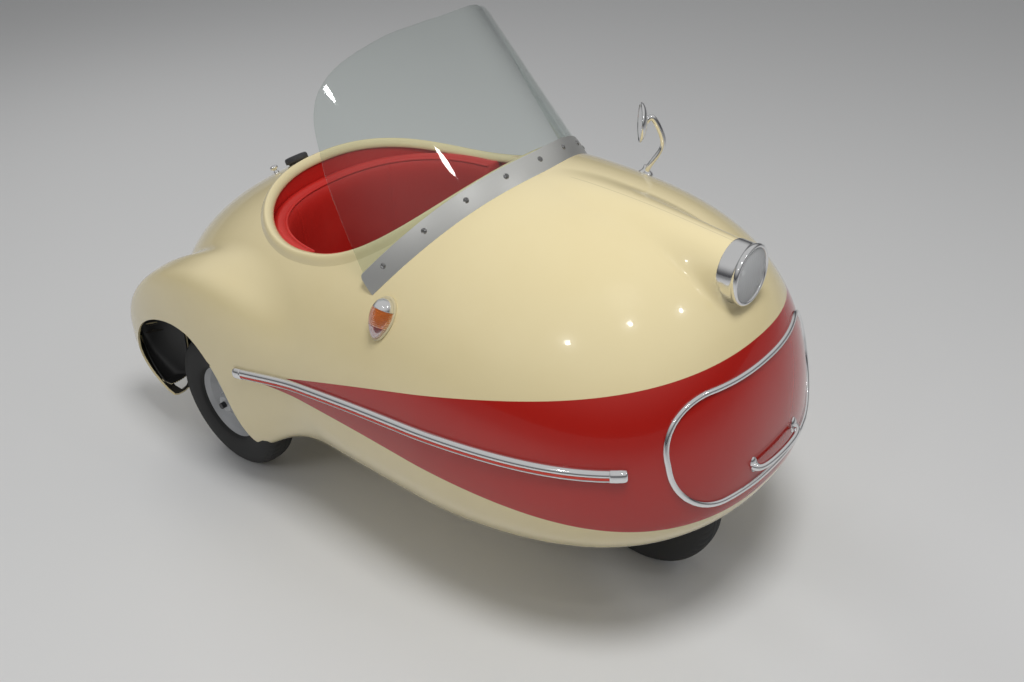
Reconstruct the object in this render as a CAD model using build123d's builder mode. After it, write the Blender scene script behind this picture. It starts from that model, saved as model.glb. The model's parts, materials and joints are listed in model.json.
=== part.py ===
"""Single seat three wheeled car with an egg shaped moulded body, one steered front wheel and two
rear wheels under side pods. Millimetres. +X is the driver's left, the nose points to -Y, +Z is up,
and the floor is Z = 0."""
import os
from math import asin, cos, radians, sin, sqrt, tan

from build123d import *

os.makedirs("parts", exist_ok=True)

# Body form: half superellipses on each side of the widest section
nose_y = -841.0
widest_y = -263.0
tail_y = 801.0
waist_z = 402.0
waist_rise = 10.0
half_width = 436.0
front_width_gain = 0.2553
rear_width_gain = 0.60
crown_height = 475.3
front_crown_gain = 0.4495
rear_crown_gain = -0.0658
belly_depth = 280.8
belly_gain = 0.2992
side_power = 2.2
crown_power = 1.956
belly_power = 2.447
nose_power = 1.85
tail_power = 1.75
wall = 5.0

# Rear wheel pods
pod_x = 345.0
pod_y = 505.5
pod_z = 293.3
pod_half_width = 100.0
pod_half_length = 343.0
pod_half_height = 216.0
pod_valley_r = 40.0

# Headlight fairing and lamp
lamp_z = 788.0
lamp_face_y = -757.0
fairing_front_y = -719.0
fairing_rear_y = -330.0
fairing_front_r = 57.0
fairing_rear_r = 82.0
fairing_valley_r = 70.0
lamp_r = 58.0
lamp_wall = 2.5
lens_r = 51.0
lens_bulge = 9.0

# Cockpit opening, in plan
opening_y = 117.0
opening_half_length = 315.0
opening_half_width = 318.0
opening_power = 2.25
rim_width = 20.0
rim_proud = 6.0
rim_under = 9.0
lining_thickness = 4.0
lining_front_y = -60.0
lining_bottom_z = 400.0

# Windscreen and its clamp strip
screen_half_width = 424.0
screen_depth = 827.0
screen_front_y = -294.0
screen_level_z = 860.0
screen_thickness = 3.0
screen_rake = 44.0
screen_outline = ((344, 716), (334, 797), (321, 884), (306, 964), (296, 991), (266, 1050), (237, 1082), (201, 1106))
screen_shoulder = (117, 1139)
screen_top_z = 1148.0
strip_width = 44.0
strip_thickness = 4.0
strip_half_width = 346.0
strip_foot_z = 882.0
strip_foot_drop = 185.0
strip_foot_half = 349.0
strip_foot_power = 2.4

# Seam and side trim: one large arc seen from the side
trim_arc_r = 7006.0
trim_crest_y = -944.0
trim_crest_z = 506.0
trim_front_y = -708.0
trim_rear_y = 268.0
trim_height = 26.0
trim_proud = 12.0
insert_height = 7.0
insert_drop = 4.5
insert_proud = 2.5

# Nose ring and handle
ring_half_width = 255.0
ring_top_z = 625.0
ring_bottom_z = 397.0
ring_corner_r = 104.0
ring_bead = 12.0
ring_proud = 9.0
handle_z = 432.0
handle_half_width = 78.0
handle_reach = 24.0
handle_r = 6.5
handle_foot_r = 15.0

# Side lamps
side_lamp_x = 362.0
side_lamp_y = -158.0
side_lamp_z = 655.0
side_lamp_lean = 28.0
side_lamp_half_length = 44.0
side_lamp_r = 26.0
side_lamp_cap_from = 0.52
side_lamp_red_to = -0.30
side_lamp_pad_margin = 5.0
side_lamp_pad_thickness = 4.0

# Mirror
mirror_x = 212.0
mirror_y = -379.0
mirror_z = 819.0
mirror_offset = (-7.0, 8.0, 112.0)
mirror_bend = (23.0, -27.0, 63.0)
mirror_facing = (-0.65, 0.76, 0.05)
mirror_depth = 16.0
mirror_r = 41.0
mirror_stem_r = 3.5

# Rear deck and tail
filler_y = 533.0
filler_z = 693.0
filler_tilt = 28.0
knob_x = -62.0
knob_y = 545.0
knob_z = 678.0
knob_tilt = 30.0
tail_lamp_y = 798.0
tail_lamp_z = 455.0
tail_lamp_tilt = 85.0

# Clamp strip screws
screw_count = 9
screw_half_turn = 48.8
screw_r = 6.0
screw_proud = 2.0

# Wheels
tyre_r = 185.0
tyre_width = 88.0
bead_r = 101.6
rim_width_wheel = 62.0
hub_r = 27.0
hub_half_length = 42.0
front_wheel_y = -544.0
rear_wheel_y = 477.0
rear_wheel_x = 344.0
axle_z = tyre_r
axle_r = 8.0
bore_clearance = 0.05
groove_width = 4.0
groove_depth = 4.0
wheel_clearance = 15.0
well_wall = 3.0
front_slot_width = 270.0
front_slot_margin = 28.0
front_slot_corner_r = 110.0

# Wheel arch outline: distance behind the axle and height above it, in tyre radii
arch_foot_ahead = (-0.675, -0.11)
arch_shoulder = (-0.265, 0.85)
arch_rise = (-0.06, 1.15)
arch_crown = (0.34, 1.26)
arch_fall = (1.15, 1.054)
arch_foot_behind = (1.746, 0.46)
arch_below = -0.675

# Steering
rake = 30.0
head_z = 440.0
head_length = 110.0
head_tube_r = 22.0
steerer_r = 15.0
steer_offset = 30.0
fork_x = 66.0
fork_r = 13.0
fork_crown_depth = 36.0
bar_z = 640.0
bar_r = 11.0
bar_bend_r = 70.0
bar_sweep = 190.0
grip_r = 16.0
grip_x = 190.0
grip_length = 105.0

# Frame
rail_x = 120.0
rail_r = 16.0
rail_z = 195.0
rail_front_y = -300.0
beam_half = 18.0
beam_half_length = 240.0
mount_places = (-170.0, 330.0)
mount_r = 20.0
floor_thickness = 5.0
floor_half_width = 215.0
floor_front_y = -280.0
floor_rear_y = 345.0

# Seat
seat_half_width = 200.0
seat_front_y = -10.0
seat_rear_y = 330.0
seat_base_height = 80.0
cushion_height = 85.0
back_thickness = 48.0
back_gap = 0.5
back_top_z = 690.0

# Engine
engine_x = 275.0
engine_y = 165.0
engine_half_width = 58.0
engine_half_length = 100.0
crankcase_height = 84.0
fin_count = 7
fin_pitch = 10.0
fin_thickness = 3.0
fin_half = 44.0
barrel_r = 30.0


def pull(power):
    """Handle length of the cubic quarter arc that stands for a superellipse quarter."""
    return (8 * 2 ** (-1 / power) - 4) / 3


def outline(y, centre_z, half, rise, drop, upper_power, lower_power):
    """Closed section across the body, made of four cubic quarter arcs."""
    plane = Plane(origin=(0, y, centre_z), x_dir=(1, 0, 0), z_dir=(0, -1, 0))
    quarters = [
        (half, rise, upper_power),
        (-half, rise, upper_power),
        (-half, -drop, lower_power),
        (half, -drop, lower_power),
    ]
    with BuildSketch(plane) as section:
        with BuildLine():
            for side, height, power in quarters:
                k = pull(power)
                Bezier((side, 0), (side, height * k), (side * k, height), (0, height))
        make_face()
    return section.sketch


def egg_section(share, grow):
    """Section of the main form at a share of its length, from -1 at the nose to 1 at the tail."""
    front = share < 0
    reach = (widest_y - nose_y if front else tail_y - widest_y) + grow
    width_gain = front_width_gain if front else rear_width_gain
    crown_gain = front_crown_gain if front else rear_crown_gain
    left = 1 - abs(share) ** (nose_power if front else tail_power)
    half = half_width * (1 + width_gain * share ** 2) * left ** (1 / side_power) + grow
    rise = crown_height * (1 + crown_gain * share ** 2) * left ** (1 / crown_power) + grow
    drop = belly_depth * (1 + belly_gain * share) * left ** (1 / belly_power) + grow
    y = widest_y + share * reach
    centre_z = waist_z + waist_rise * share
    return outline(y, centre_z, half, rise, drop, side_power, belly_power)


def pod_section(side, share, grow):
    """Section of a wheel pod, an ellipsoid beside the main form."""
    left = sqrt(1 - share ** 2)
    half = (pod_half_width + grow) * left
    height = (pod_half_height + grow) * left
    y = pod_y + share * (pod_half_length + grow)
    plane = Plane(origin=(side * pod_x, y, pod_z), x_dir=(1, 0, 0), z_dir=(0, -1, 0))
    with BuildSketch(plane) as section:
        Ellipse(half, height)
    return section.sketch


egg_shares = (-0.998, -0.975, -0.9, -0.74, -0.48, -0.16, 0.14, 0.42, 0.66, 0.84, 0.95, 0.998)
pod_shares = (-0.998, -0.94, -0.8, -0.5, 0.0, 0.5, 0.8, 0.94, 0.998)


def egg(grow):
    """The main form, grown or shrunk along its normals."""
    with BuildPart() as form:
        loft(sections=[egg_section(share, grow) for share in egg_shares])
    return form.part


def fairing(grow):
    """Turned headlight fairing, its rear end buried in the bonnet."""
    with BuildPart() as form:
        with BuildSketch(Plane.XZ.offset(-fairing_front_y)) as front:
            with Locations((0, lamp_z)):
                Circle(fairing_front_r + grow)
        with BuildSketch(Plane.XZ.offset(-fairing_rear_y)) as rear:
            with Locations((0, lamp_z)):
                Circle(fairing_rear_r + grow)
        loft(sections=[front.sketch, rear.sketch])
    return form.part


def wheel_pod(side, grow):
    """Ellipsoid over one rear wheel."""
    with BuildPart() as form:
        loft(sections=[pod_section(side, share, grow) for share in pod_shares])
    return form.part


def body_form(grow):
    """The main form with wheel pods and headlight fairing, their valleys rounded."""
    with BuildPart() as form:
        for valley_r, pieces in (
            (pod_valley_r, [wheel_pod(-1, grow), wheel_pod(1, grow)]),
            (fairing_valley_r, [fairing(grow)]),
        ):
            before = egg(grow) if not form.part else form.part
            add(before, mode=Mode.REPLACE)
            add(pieces)
            seams = new_edges(before, *pieces, combined=form.part)
            fillet(seams.filter_by(lambda seam: seam.length > 3 * valley_r), valley_r - grow)
    return form.part


def arc_z(y):
    """Height of the seam arc at a place along the body."""
    return trim_crest_z - trim_arc_r + sqrt(trim_arc_r ** 2 - (y - trim_crest_y) ** 2)


def seam_band(front, rear, above, below):
    """Side view face between two copies of the seam arc, extruded across the whole body."""
    middle = (front + rear) / 2
    with BuildPart() as band:
        with BuildSketch(Plane.YZ.offset(-600)):
            with BuildLine():
                ThreePointArc(
                    (front, arc_z(front) + above), (middle, arc_z(middle) + above), (rear, arc_z(rear) + above)
                )
                Line((rear, arc_z(rear) + above), (rear, arc_z(rear) - below))
                ThreePointArc(
                    (rear, arc_z(rear) - below), (middle, arc_z(middle) - below), (front, arc_z(front) - below)
                )
                Line((front, arc_z(front) - below), (front, arc_z(front) + above))
            make_face()
        extrude(amount=1200)
    return band.part


def opening_column(grow, low, high):
    """Upright column with the plan of the cockpit opening."""
    k = pull(opening_power)
    half = opening_half_width + grow
    length = opening_half_length + grow
    with BuildPart() as column:
        with BuildSketch(Plane.XY.offset(low)):
            with BuildLine():
                for side, end in ((1, 1), (-1, 1), (-1, -1), (1, -1)):
                    Bezier(
                        (side * half, opening_y),
                        (side * half, opening_y + end * length * k),
                        (side * half * k, opening_y + end * length),
                        (0, opening_y + end * length),
                    )
            make_face()
        extrude(amount=high - low)
    return column.part


def raked_band(inward, outward):
    """Raked half of an elliptical tube between two offsets from the windscreen's front face."""
    low = 560.0
    centre_y = screen_front_y + screen_depth + (low - screen_level_z) * tan(radians(screen_rake))
    with BuildPart() as band:
        with BuildSketch(Plane.XY.offset(low)):
            with Locations((0, centre_y)):
                Ellipse(screen_half_width + outward, screen_depth + outward)
                Ellipse(screen_half_width - inward, screen_depth - inward, mode=Mode.SUBTRACT)
                Rectangle(2000, 2000, align=(Align.CENTER, Align.MIN), mode=Mode.SUBTRACT)
        extrude(amount=900, dir=(0, sin(radians(screen_rake)), cos(radians(screen_rake))))
    return band.part


def arch_column(side, grow, length):
    """Column across one pod with the side view of its wheel arch, from the well's inner wall out."""
    def place(share):
        return rear_wheel_y + share[0] * tyre_r, axle_z + share[1] * tyre_r

    foot = axle_z + arch_below * tyre_r
    inner_x = rear_wheel_x - tyre_width / 2 - wheel_clearance
    with BuildPart() as column:
        with BuildSketch(Plane.YZ.offset(side * (inner_x - grow))):
            with BuildLine():
                Polyline(
                    place(arch_foot_behind),
                    (place(arch_foot_behind)[0] + 30, foot),
                    (place(arch_foot_ahead)[0], foot),
                    place(arch_foot_ahead),
                    place(arch_shoulder),
                )
                ThreePointArc(place(arch_shoulder), place(arch_rise), place(arch_crown))
                ThreePointArc(place(arch_crown), place(arch_fall), place(arch_foot_behind))
            make_face()
            if grow > 0:
                offset(amount=grow)
        extrude(amount=side * length)
    return column.part


outer = egg(0)
whole_form = body_form(0)
inner_form = body_form(-wall)

# Body shell with its openings
with BuildPart() as shell:
    add(whole_form)
    add(inner_form, mode=Mode.SUBTRACT)
    add(opening_column(0, 500, 1000), mode=Mode.SUBTRACT)
    # Rolled cockpit rim
    with BuildPart(mode=Mode.PRIVATE) as rim:
        add(egg(rim_proud))
        add(egg(-rim_under), mode=Mode.SUBTRACT)
        add(opening_column(rim_width, 500, 1000), mode=Mode.INTERSECT)
        add(opening_column(0, 500, 1000), mode=Mode.SUBTRACT)
    add(rim.part)
    # Wheel arches in the pods, and room for the tyre inside them
    for side in (-1, 1):
        add(arch_column(side, 0, 200), mode=Mode.SUBTRACT)
        with Locations(Location((side * rear_wheel_x, rear_wheel_y, axle_z), (0, 90, 0))):
            Cylinder(tyre_r + wheel_clearance, tyre_width + 2 * wheel_clearance, mode=Mode.SUBTRACT)
    # Front wheel opening in the belly
    slot_length = 2 * (tyre_r + front_slot_margin)
    with BuildSketch(Plane.XY):
        with Locations((0, front_wheel_y)):
            RectangleRounded(front_slot_width, slot_length, front_slot_corner_r)
    extrude(amount=axle_z + tyre_r * 0.75, mode=Mode.SUBTRACT)
    # Channel across the belly for the rear axle beam
    with Locations((0, rear_wheel_y, 0)):
        Box(
            2 * (rear_wheel_x - tyre_width / 2),
            2 * (beam_half + 12),
            axle_z + beam_half + 9,
            align=(Align.CENTER, Align.CENTER, Align.MIN),
            mode=Mode.SUBTRACT,
        )

# The lower moulding ends over the rear axle: the tail behind it belongs to the upper one
lower_zone = seam_band(-1000, rear_wheel_y, 0, 900)

with BuildPart() as body_upper:
    add(shell.part)
    add(lower_zone, mode=Mode.SUBTRACT)

with BuildPart() as body_lower:
    add(shell.part)
    add(lower_zone, mode=Mode.INTERSECT)

# Wheel wells: tubs behind the arches with a flat inner wall
with BuildPart() as wheel_wells:
    for side in (-1, 1):
        add(arch_column(side, well_wall, 200))
        with Locations(Location((side * rear_wheel_x, rear_wheel_y, axle_z), (0, 90, 0))):
            Cylinder(tyre_r + wheel_clearance + well_wall, tyre_width + 2 * (wheel_clearance + well_wall))
    add(inner_form, mode=Mode.INTERSECT)
    for side in (-1, 1):
        add(arch_column(side, 0, 200), mode=Mode.SUBTRACT)
        with Locations(Location((side * rear_wheel_x, rear_wheel_y, axle_z), (0, 90, 0))):
            Cylinder(tyre_r + wheel_clearance, tyre_width + 2 * wheel_clearance, mode=Mode.SUBTRACT)
            Cylinder(axle_r + 7, 4 * tyre_width, mode=Mode.SUBTRACT)
    with Locations((0, rear_wheel_y, 0)):
        Box(
            2 * (rear_wheel_x - tyre_width / 2),
            2 * (beam_half + 12),
            axle_z - axle_r,
            align=(Align.CENTER, Align.CENTER, Align.MIN),
            mode=Mode.SUBTRACT,
        )

# Cockpit lining, hung from the underside of the opening's edge
with BuildPart() as cockpit_lining:
    add(opening_column(lining_thickness, lining_bottom_z, 1000))
    add(opening_column(0, lining_bottom_z, 1000), mode=Mode.SUBTRACT)
    add(egg(-rim_under), mode=Mode.INTERSECT)
    with Locations((0, lining_front_y, 0)):
        Box(2000, 2000, 3000, align=(Align.CENTER, Align.MAX, Align.CENTER), mode=Mode.SUBTRACT)

# Windscreen, a curved sheet that rises from the body on a rake, cut to an arched outline
with BuildPart() as windscreen:
    add(raked_band(screen_thickness, 0))
    with BuildSketch(Plane.XZ.offset(-1000)):
        with BuildLine():
            foot = screen_outline[0]
            Polyline(
                *[(x, z) for x, z in reversed(screen_outline)],
                (foot[0], 560),
                (-foot[0], 560),
                *[(-x, z) for x, z in screen_outline],
            )
            for side in (-1, 1):
                Line(
                    (side * screen_outline[-1][0], screen_outline[-1][1]),
                    (side * screen_shoulder[0], screen_shoulder[1]),
                )
            ThreePointArc(
                (-screen_shoulder[0], screen_shoulder[1]),
                (0, screen_top_z),
                screen_shoulder,
            )
        make_face()
    extrude(amount=2000, mode=Mode.INTERSECT)
    add(whole_form, mode=Mode.SUBTRACT)

# Windscreen clamp strip, a band of even width along the foot of the sheet
with BuildPart() as windscreen_strip:
    add(raked_band(0, strip_thickness))
    rise = (0, strip_width * sin(radians(screen_rake)), strip_width * cos(radians(screen_rake)))
    add(outer.moved(Location(rise)), mode=Mode.INTERSECT)
    Box(2 * strip_half_width, 4000, 4000, mode=Mode.INTERSECT)
    add(whole_form, mode=Mode.SUBTRACT)

# Side trims with a groove and their red inserts
side_trims = {}
trim_inserts = {}
trim_form = egg(trim_proud)
groove_form = egg(trim_proud - insert_proud)
insert_middle = -insert_drop
for side, name in ((-1, "right"), (1, "left")):
    with BuildPart() as groove:
        add(trim_form)
        add(groove_form, mode=Mode.SUBTRACT)
        add(
            seam_band(
                trim_front_y + 18,
                trim_rear_y - 18,
                insert_middle + insert_height / 2,
                insert_height / 2 - insert_middle,
            ),
            mode=Mode.INTERSECT,
        )
        Box(1000, 3000, 3000, align=(Align.MIN if side > 0 else Align.MAX, Align.CENTER, Align.CENTER),
            mode=Mode.INTERSECT)
    with BuildPart() as trim:
        add(trim_form)
        add(outer, mode=Mode.SUBTRACT)
        add(seam_band(trim_front_y, trim_rear_y, trim_height / 2, trim_height / 2), mode=Mode.INTERSECT)
        Box(1000, 3000, 3000, align=(Align.MIN if side > 0 else Align.MAX, Align.CENTER, Align.CENTER),
            mode=Mode.INTERSECT)
        add(groove.part, mode=Mode.SUBTRACT)
    side_trims[name] = trim.part
    trim_inserts[name] = groove.part

# Nose ring
ring_middle_z = (ring_top_z + ring_bottom_z) / 2
ring_height = ring_top_z - ring_bottom_z
with BuildPart() as nose_ring:
    add(egg(ring_proud))
    add(outer, mode=Mode.SUBTRACT)
    with BuildSketch(Plane.XZ.offset(1000)):
        with Locations((0, ring_middle_z)):
            RectangleRounded(2 * ring_half_width, ring_height, ring_corner_r)
            RectangleRounded(
                2 * (ring_half_width - ring_bead),
                ring_height - 2 * ring_bead,
                ring_corner_r - ring_bead,
                mode=Mode.SUBTRACT,
            )
    extrude(amount=-500, mode=Mode.INTERSECT)

# Handle on the nose
with BuildPart() as nose_handle:
    root_y = nose_y + 20
    tip_y = nose_y - handle_reach + handle_r
    with BuildLine(Plane.XY.offset(handle_z)) as bow:
        ThreePointArc((-handle_half_width, root_y), (0, tip_y), (handle_half_width, root_y))
    with BuildSketch(Plane(origin=bow.line @ 0, z_dir=bow.line % 0)):
        Circle(handle_r)
    sweep(path=bow.line)
    for side in (-1, 1):
        with Locations(Location((side * handle_half_width, nose_y - 4, handle_z + 4), (90, 0, 0))):
            Cone(handle_r, handle_foot_r, 14, rotation=(180, 0, 0))
    add(outer, mode=Mode.SUBTRACT)

# Headlight
with BuildPart() as headlight_barrel:
    with BuildSketch(Plane.YZ):
        with BuildLine():
            Polyline(
                (fairing_front_y, lamp_z + fairing_front_r + 3),
                (lamp_face_y + 6, lamp_z + lamp_r),
                (lamp_face_y, lamp_z + lamp_r - 3),
                (lamp_face_y, lamp_z + lens_r),
                (lamp_face_y + 6, lamp_z + lens_r),
                (lamp_face_y + 6, lamp_z + lamp_r - lamp_wall),
                (fairing_front_y, lamp_z + fairing_front_r + 3 - lamp_wall - 3),
                (fairing_front_y, lamp_z + fairing_front_r + 3),
            )
        make_face()
    revolve(axis=Axis((0, 0, lamp_z), (0, 1, 0)))
    add(outer, mode=Mode.SUBTRACT)

def bowl(apex_y, rim_y, radius, thickness):
    """Turned shell with a spherical crown on the lamp's axis."""
    depth = abs(rim_y - apex_y)
    ball_r = (radius ** 2 + depth ** 2) / (2 * depth)
    side = 1 if rim_y > apex_y else -1
    centre_y = apex_y + side * ball_r
    half_turn = asin(radius / ball_r) / 2
    back = ball_r - thickness
    with BuildPart() as piece:
        with BuildSketch(Plane.YZ):
            with BuildLine():
                ThreePointArc(
                    (apex_y, lamp_z),
                    (centre_y - side * ball_r * cos(half_turn), lamp_z + ball_r * sin(half_turn)),
                    (centre_y - side * ball_r * cos(2 * half_turn), lamp_z + ball_r * sin(2 * half_turn)),
                )
                Line(
                    (centre_y - side * ball_r * cos(2 * half_turn), lamp_z + ball_r * sin(2 * half_turn)),
                    (centre_y - side * back * cos(2 * half_turn), lamp_z + back * sin(2 * half_turn)),
                )
                ThreePointArc(
                    (centre_y - side * back * cos(2 * half_turn), lamp_z + back * sin(2 * half_turn)),
                    (centre_y - side * back * cos(half_turn), lamp_z + back * sin(half_turn)),
                    (apex_y + side * thickness, lamp_z),
                )
                Line((apex_y + side * thickness, lamp_z), (apex_y, lamp_z))
            make_face()
        revolve(axis=Axis((0, 0, lamp_z), (0, 1, 0)))
    return piece.part


with BuildPart() as headlight_reflector:
    add(bowl(lamp_face_y + 46, lamp_face_y + 7, lens_r + 4, 2))
    add(outer, mode=Mode.SUBTRACT)

with BuildPart() as headlight_lens:
    add(bowl(lamp_face_y - lens_bulge, lamp_face_y + 2, lens_r, 3))

# Side lamps: one drop shape sunk in the body's side, sliced into cap, amber and red, on a pad
lamp_lean = (sin(radians(side_lamp_lean)), cos(radians(side_lamp_lean)))
side_lamp_slices = {
    "side_lamp_caps": (side_lamp_cap_from, 1.0),
    "side_lamp_ambers": (side_lamp_red_to, side_lamp_cap_from),
    "side_lamp_reds": (-1.0, side_lamp_red_to),
}


def side_lamp_drop(side, grow, low, high):
    """Turned drop between two shares of its half length, its axis along the body's side."""
    half = side_lamp_half_length + grow
    plane = Plane(
        origin=(side * side_lamp_x, side_lamp_y, side_lamp_z),
        x_dir=(0, 1, 0),
        z_dir=(-side * lamp_lean[0], 0, lamp_lean[1]),
    )
    with BuildPart() as drop:
        with BuildSketch(Plane(origin=plane.origin, x_dir=(0, 1, 0), z_dir=plane.y_dir)):
            with BuildLine():
                Line((0, -half), (0, half))
                ThreePointArc((0, -half), (side_lamp_r + grow, -half * 0.18), (0, half))
            make_face()
        revolve(axis=Axis(plane.origin, plane.z_dir))
        with Locations(plane * Location((0, 0, (low + high) / 2 * half))):
            Box(200, 200, (high - low) * half, mode=Mode.INTERSECT)
        add(outer, mode=Mode.SUBTRACT)
    return drop.part


side_lamps = {}
for name, (low, high) in side_lamp_slices.items():
    with BuildPart() as pair:
        for side in (-1, 1):
            add(side_lamp_drop(side, 0, low, high))
    side_lamps[name] = pair.part

with BuildPart() as side_lamp_pads:
    for side in (-1, 1):
        with BuildPart(mode=Mode.PRIVATE) as pad:
            add(side_lamp_drop(side, side_lamp_pad_margin, -1.0, 1.0))
            add(egg(side_lamp_pad_thickness), mode=Mode.INTERSECT)
            for low, high in side_lamp_slices.values():
                add(side_lamp_drop(side, 0, low, high), mode=Mode.SUBTRACT)
        add(pad.part)


# Mirror on the driver's left, on a bent stem
mirror_root = Vector(mirror_x, mirror_y, mirror_z)
mirror_centre = mirror_root + Vector(*mirror_offset)
mirror_normal = Vector(*mirror_facing).normalized()
mirror_back = mirror_centre - mirror_normal * mirror_depth
with BuildPart() as mirror_stem:
    with BuildLine() as stem_line:
        Spline(
            mirror_root - Vector(0, 0, 20),
            mirror_root + Vector(0, -8, 18),
            mirror_root + Vector(*mirror_bend),
            mirror_back,
            tangents=((0, 0, 1), mirror_normal),
        )
    with BuildSketch(Plane(origin=stem_line.line @ 0, z_dir=stem_line.line % 0)):
        Circle(mirror_stem_r)
    sweep(path=stem_line.line)
    with Locations(Location(mirror_root)):
        Cone(mirror_stem_r + 6, mirror_stem_r + 1, 14)
    add(outer, mode=Mode.SUBTRACT)

with BuildPart() as mirror_head:
    with BuildSketch(Plane(origin=mirror_back, z_dir=mirror_normal)):
        Circle(mirror_stem_r + 7)
    with BuildSketch(Plane(origin=mirror_centre, z_dir=mirror_normal)):
        Circle(mirror_r)
    loft()
    with BuildSketch(Plane(origin=mirror_centre, z_dir=mirror_normal)):
        Circle(mirror_r)
    extrude(amount=4)
    with BuildSketch(Plane(origin=mirror_centre + mirror_normal * 2, z_dir=mirror_normal)):
        Circle(mirror_r - 3)
    extrude(amount=4, mode=Mode.SUBTRACT)
    add(mirror_stem.part, mode=Mode.SUBTRACT)

with BuildPart() as mirror_glass:
    with BuildSketch(Plane(origin=mirror_centre + mirror_normal * 2, z_dir=mirror_normal)):
        Circle(mirror_r - 3)
    extrude(amount=1.5)


# Fittings on the rear deck and tail
def deck_fitting(place, tilt, steps):
    """Stack of turned steps that stands on the body, each a radius and a height."""
    with BuildPart() as fitting:
        with Locations(Location(place, (tilt, 0, 0))):
            with Locations((0, 0, -10)):
                Cylinder(steps[0][0], 10 + steps[0][1], align=(Align.CENTER, Align.CENTER, Align.MIN))
            base = steps[0][1]
            for radius, height in steps[1:]:
                with Locations((0, 0, base)):
                    Cylinder(radius, height, align=(Align.CENTER, Align.CENTER, Align.MIN))
                base += height
        add(outer, mode=Mode.SUBTRACT)
    return fitting.part


filler_cap = deck_fitting((0, filler_y, filler_z), -filler_tilt, ((24, 6), (29, 14), (22, 4)))
deck_knob = deck_fitting((knob_x, knob_y, knob_z), -knob_tilt, ((7, 4), (9, 7)))
tail_lamp = deck_fitting((0, tail_lamp_y, tail_lamp_z), -tail_lamp_tilt, ((32, 4), (28, 16)))

# Screws along the middle of the clamp strip
with BuildPart() as strip_screws:
    for number in range(screw_count):
        turn = radians(screw_half_turn) * (2 * number / (screw_count - 1) - 1)
        x = screen_half_width * sin(turn)
        foot_z = strip_foot_z - strip_foot_drop * (abs(x) / strip_foot_half) ** strip_foot_power
        z = foot_z + strip_width / 2 * cos(radians(screen_rake))
        lean = (z - screen_level_z) * tan(radians(screen_rake))
        y = screen_front_y + screen_depth * (1 - cos(turn)) + lean
        along = Vector(screen_half_width * cos(turn), screen_depth * sin(turn), 0)
        outward = along.cross(Vector(0, sin(radians(screen_rake)), cos(radians(screen_rake)))).normalized()
        with BuildSketch(Plane(origin=(x, y, z), z_dir=outward)):
            Circle(screw_r)
        extrude(amount=strip_thickness + screw_proud)
    add(windscreen_strip.part, mode=Mode.SUBTRACT)
    add(windscreen.part, mode=Mode.SUBTRACT)


def hub_profile():
    """Half section of the rim, disc and hub of one wheel, turned about its axle."""
    half = rim_width_wheel / 2
    bore = axle_r + bore_clearance
    return [
        (-hub_half_length, bore),
        (-hub_half_length, hub_r - 6),
        (-hub_half_length + 6, hub_r),
        (-10, hub_r + 4),
        (-3, hub_r + 16),
        (-3, bead_r - 22),
        (-half + 12, bead_r - 12),
        (-half, bead_r),
        (-half, bead_r + 10),
        (-half + 3, bead_r + 10),
        (-half + 3, bead_r + 2),
        (-half + 15, bead_r - 9),
        (half - 15, bead_r - 9),
        (half - 3, bead_r + 2),
        (half - 3, bead_r + 10),
        (half, bead_r + 10),
        (half, bead_r),
        (half - 12, bead_r - 12),
        (3, bead_r - 22),
        (3, hub_r + 16),
        (10, hub_r + 4),
        (hub_half_length - 6, hub_r),
        (hub_half_length, hub_r - 6),
        (hub_half_length, bore),
        (-hub_half_length, bore),
    ]


def tyre_profile():
    """Half section of the tyre outside the rim."""
    half = rim_width_wheel / 2 - 3
    full = tyre_width / 2
    return half, full


def build_wheel(centre, rim_name, tyre_name):
    """Rim with hub, and tyre, about the X axis through a centre."""
    x, y, z = centre
    axis = Axis((x, y, z), (1, 0, 0))
    with BuildPart() as rim_piece:
        with BuildSketch(Plane(origin=(x, y, z), x_dir=(1, 0, 0), z_dir=(0, -1, 0))):
            with BuildLine():
                Polyline(*hub_profile())
            make_face()
        revolve(axis=axis)
    half, full = tyre_profile()
    seat = bead_r + 2
    with BuildPart() as tyre_piece:
        with BuildSketch(Plane(origin=(x, y, z), x_dir=(1, 0, 0), z_dir=(0, -1, 0))):
            with BuildLine():
                Polyline((-half, seat + 14), (-half, seat), (-half + 12, seat - 11), (half - 12, seat - 11),
                         (half, seat), (half, seat + 14))
                ThreePointArc((half, seat + 14), (full, (seat + tyre_r) / 2 + 4), (full - 12, tyre_r - 12))
                ThreePointArc((full - 12, tyre_r - 12), (0, tyre_r), (-full + 12, tyre_r - 12))
                ThreePointArc((-full + 12, tyre_r - 12), (-full, (seat + tyre_r) / 2 + 4), (-half, seat + 14))
            make_face()
            for offset in (-18, -6, 6, 18):
                with Locations((offset, tyre_r)):
                    Rectangle(groove_width, 2 * groove_depth + 4, mode=Mode.SUBTRACT)
        revolve(axis=axis)
    rim_piece.part.label = rim_name
    tyre_piece.part.label = tyre_name
    export_step(rim_piece.part, "parts/" + rim_name + ".step")
    export_step(tyre_piece.part, "parts/" + tyre_name + ".step")


for centre, rim_name, tyre_name in (
    ((0, front_wheel_y, axle_z), "front_wheel", "front_tyre"),
    ((-rear_wheel_x, rear_wheel_y, axle_z), "rear_wheel_right", "rear_tyre_right"),
    ((rear_wheel_x, rear_wheel_y, axle_z), "rear_wheel_left", "rear_tyre_left"),
):
    build_wheel(centre, rim_name, tyre_name)

# Steering
steer_axis = (0, sin(radians(rake)), cos(radians(rake)))


def axis_y(z):
    """Place of the steering axis at a height."""
    return front_wheel_y + steer_offset + (z - axle_z) * tan(radians(rake))


head_plane = Plane(origin=(0, axis_y(head_z), head_z), x_dir=(1, 0, 0), z_dir=steer_axis)
above_head = (bar_z - head_z) / cos(radians(rake))

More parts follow.
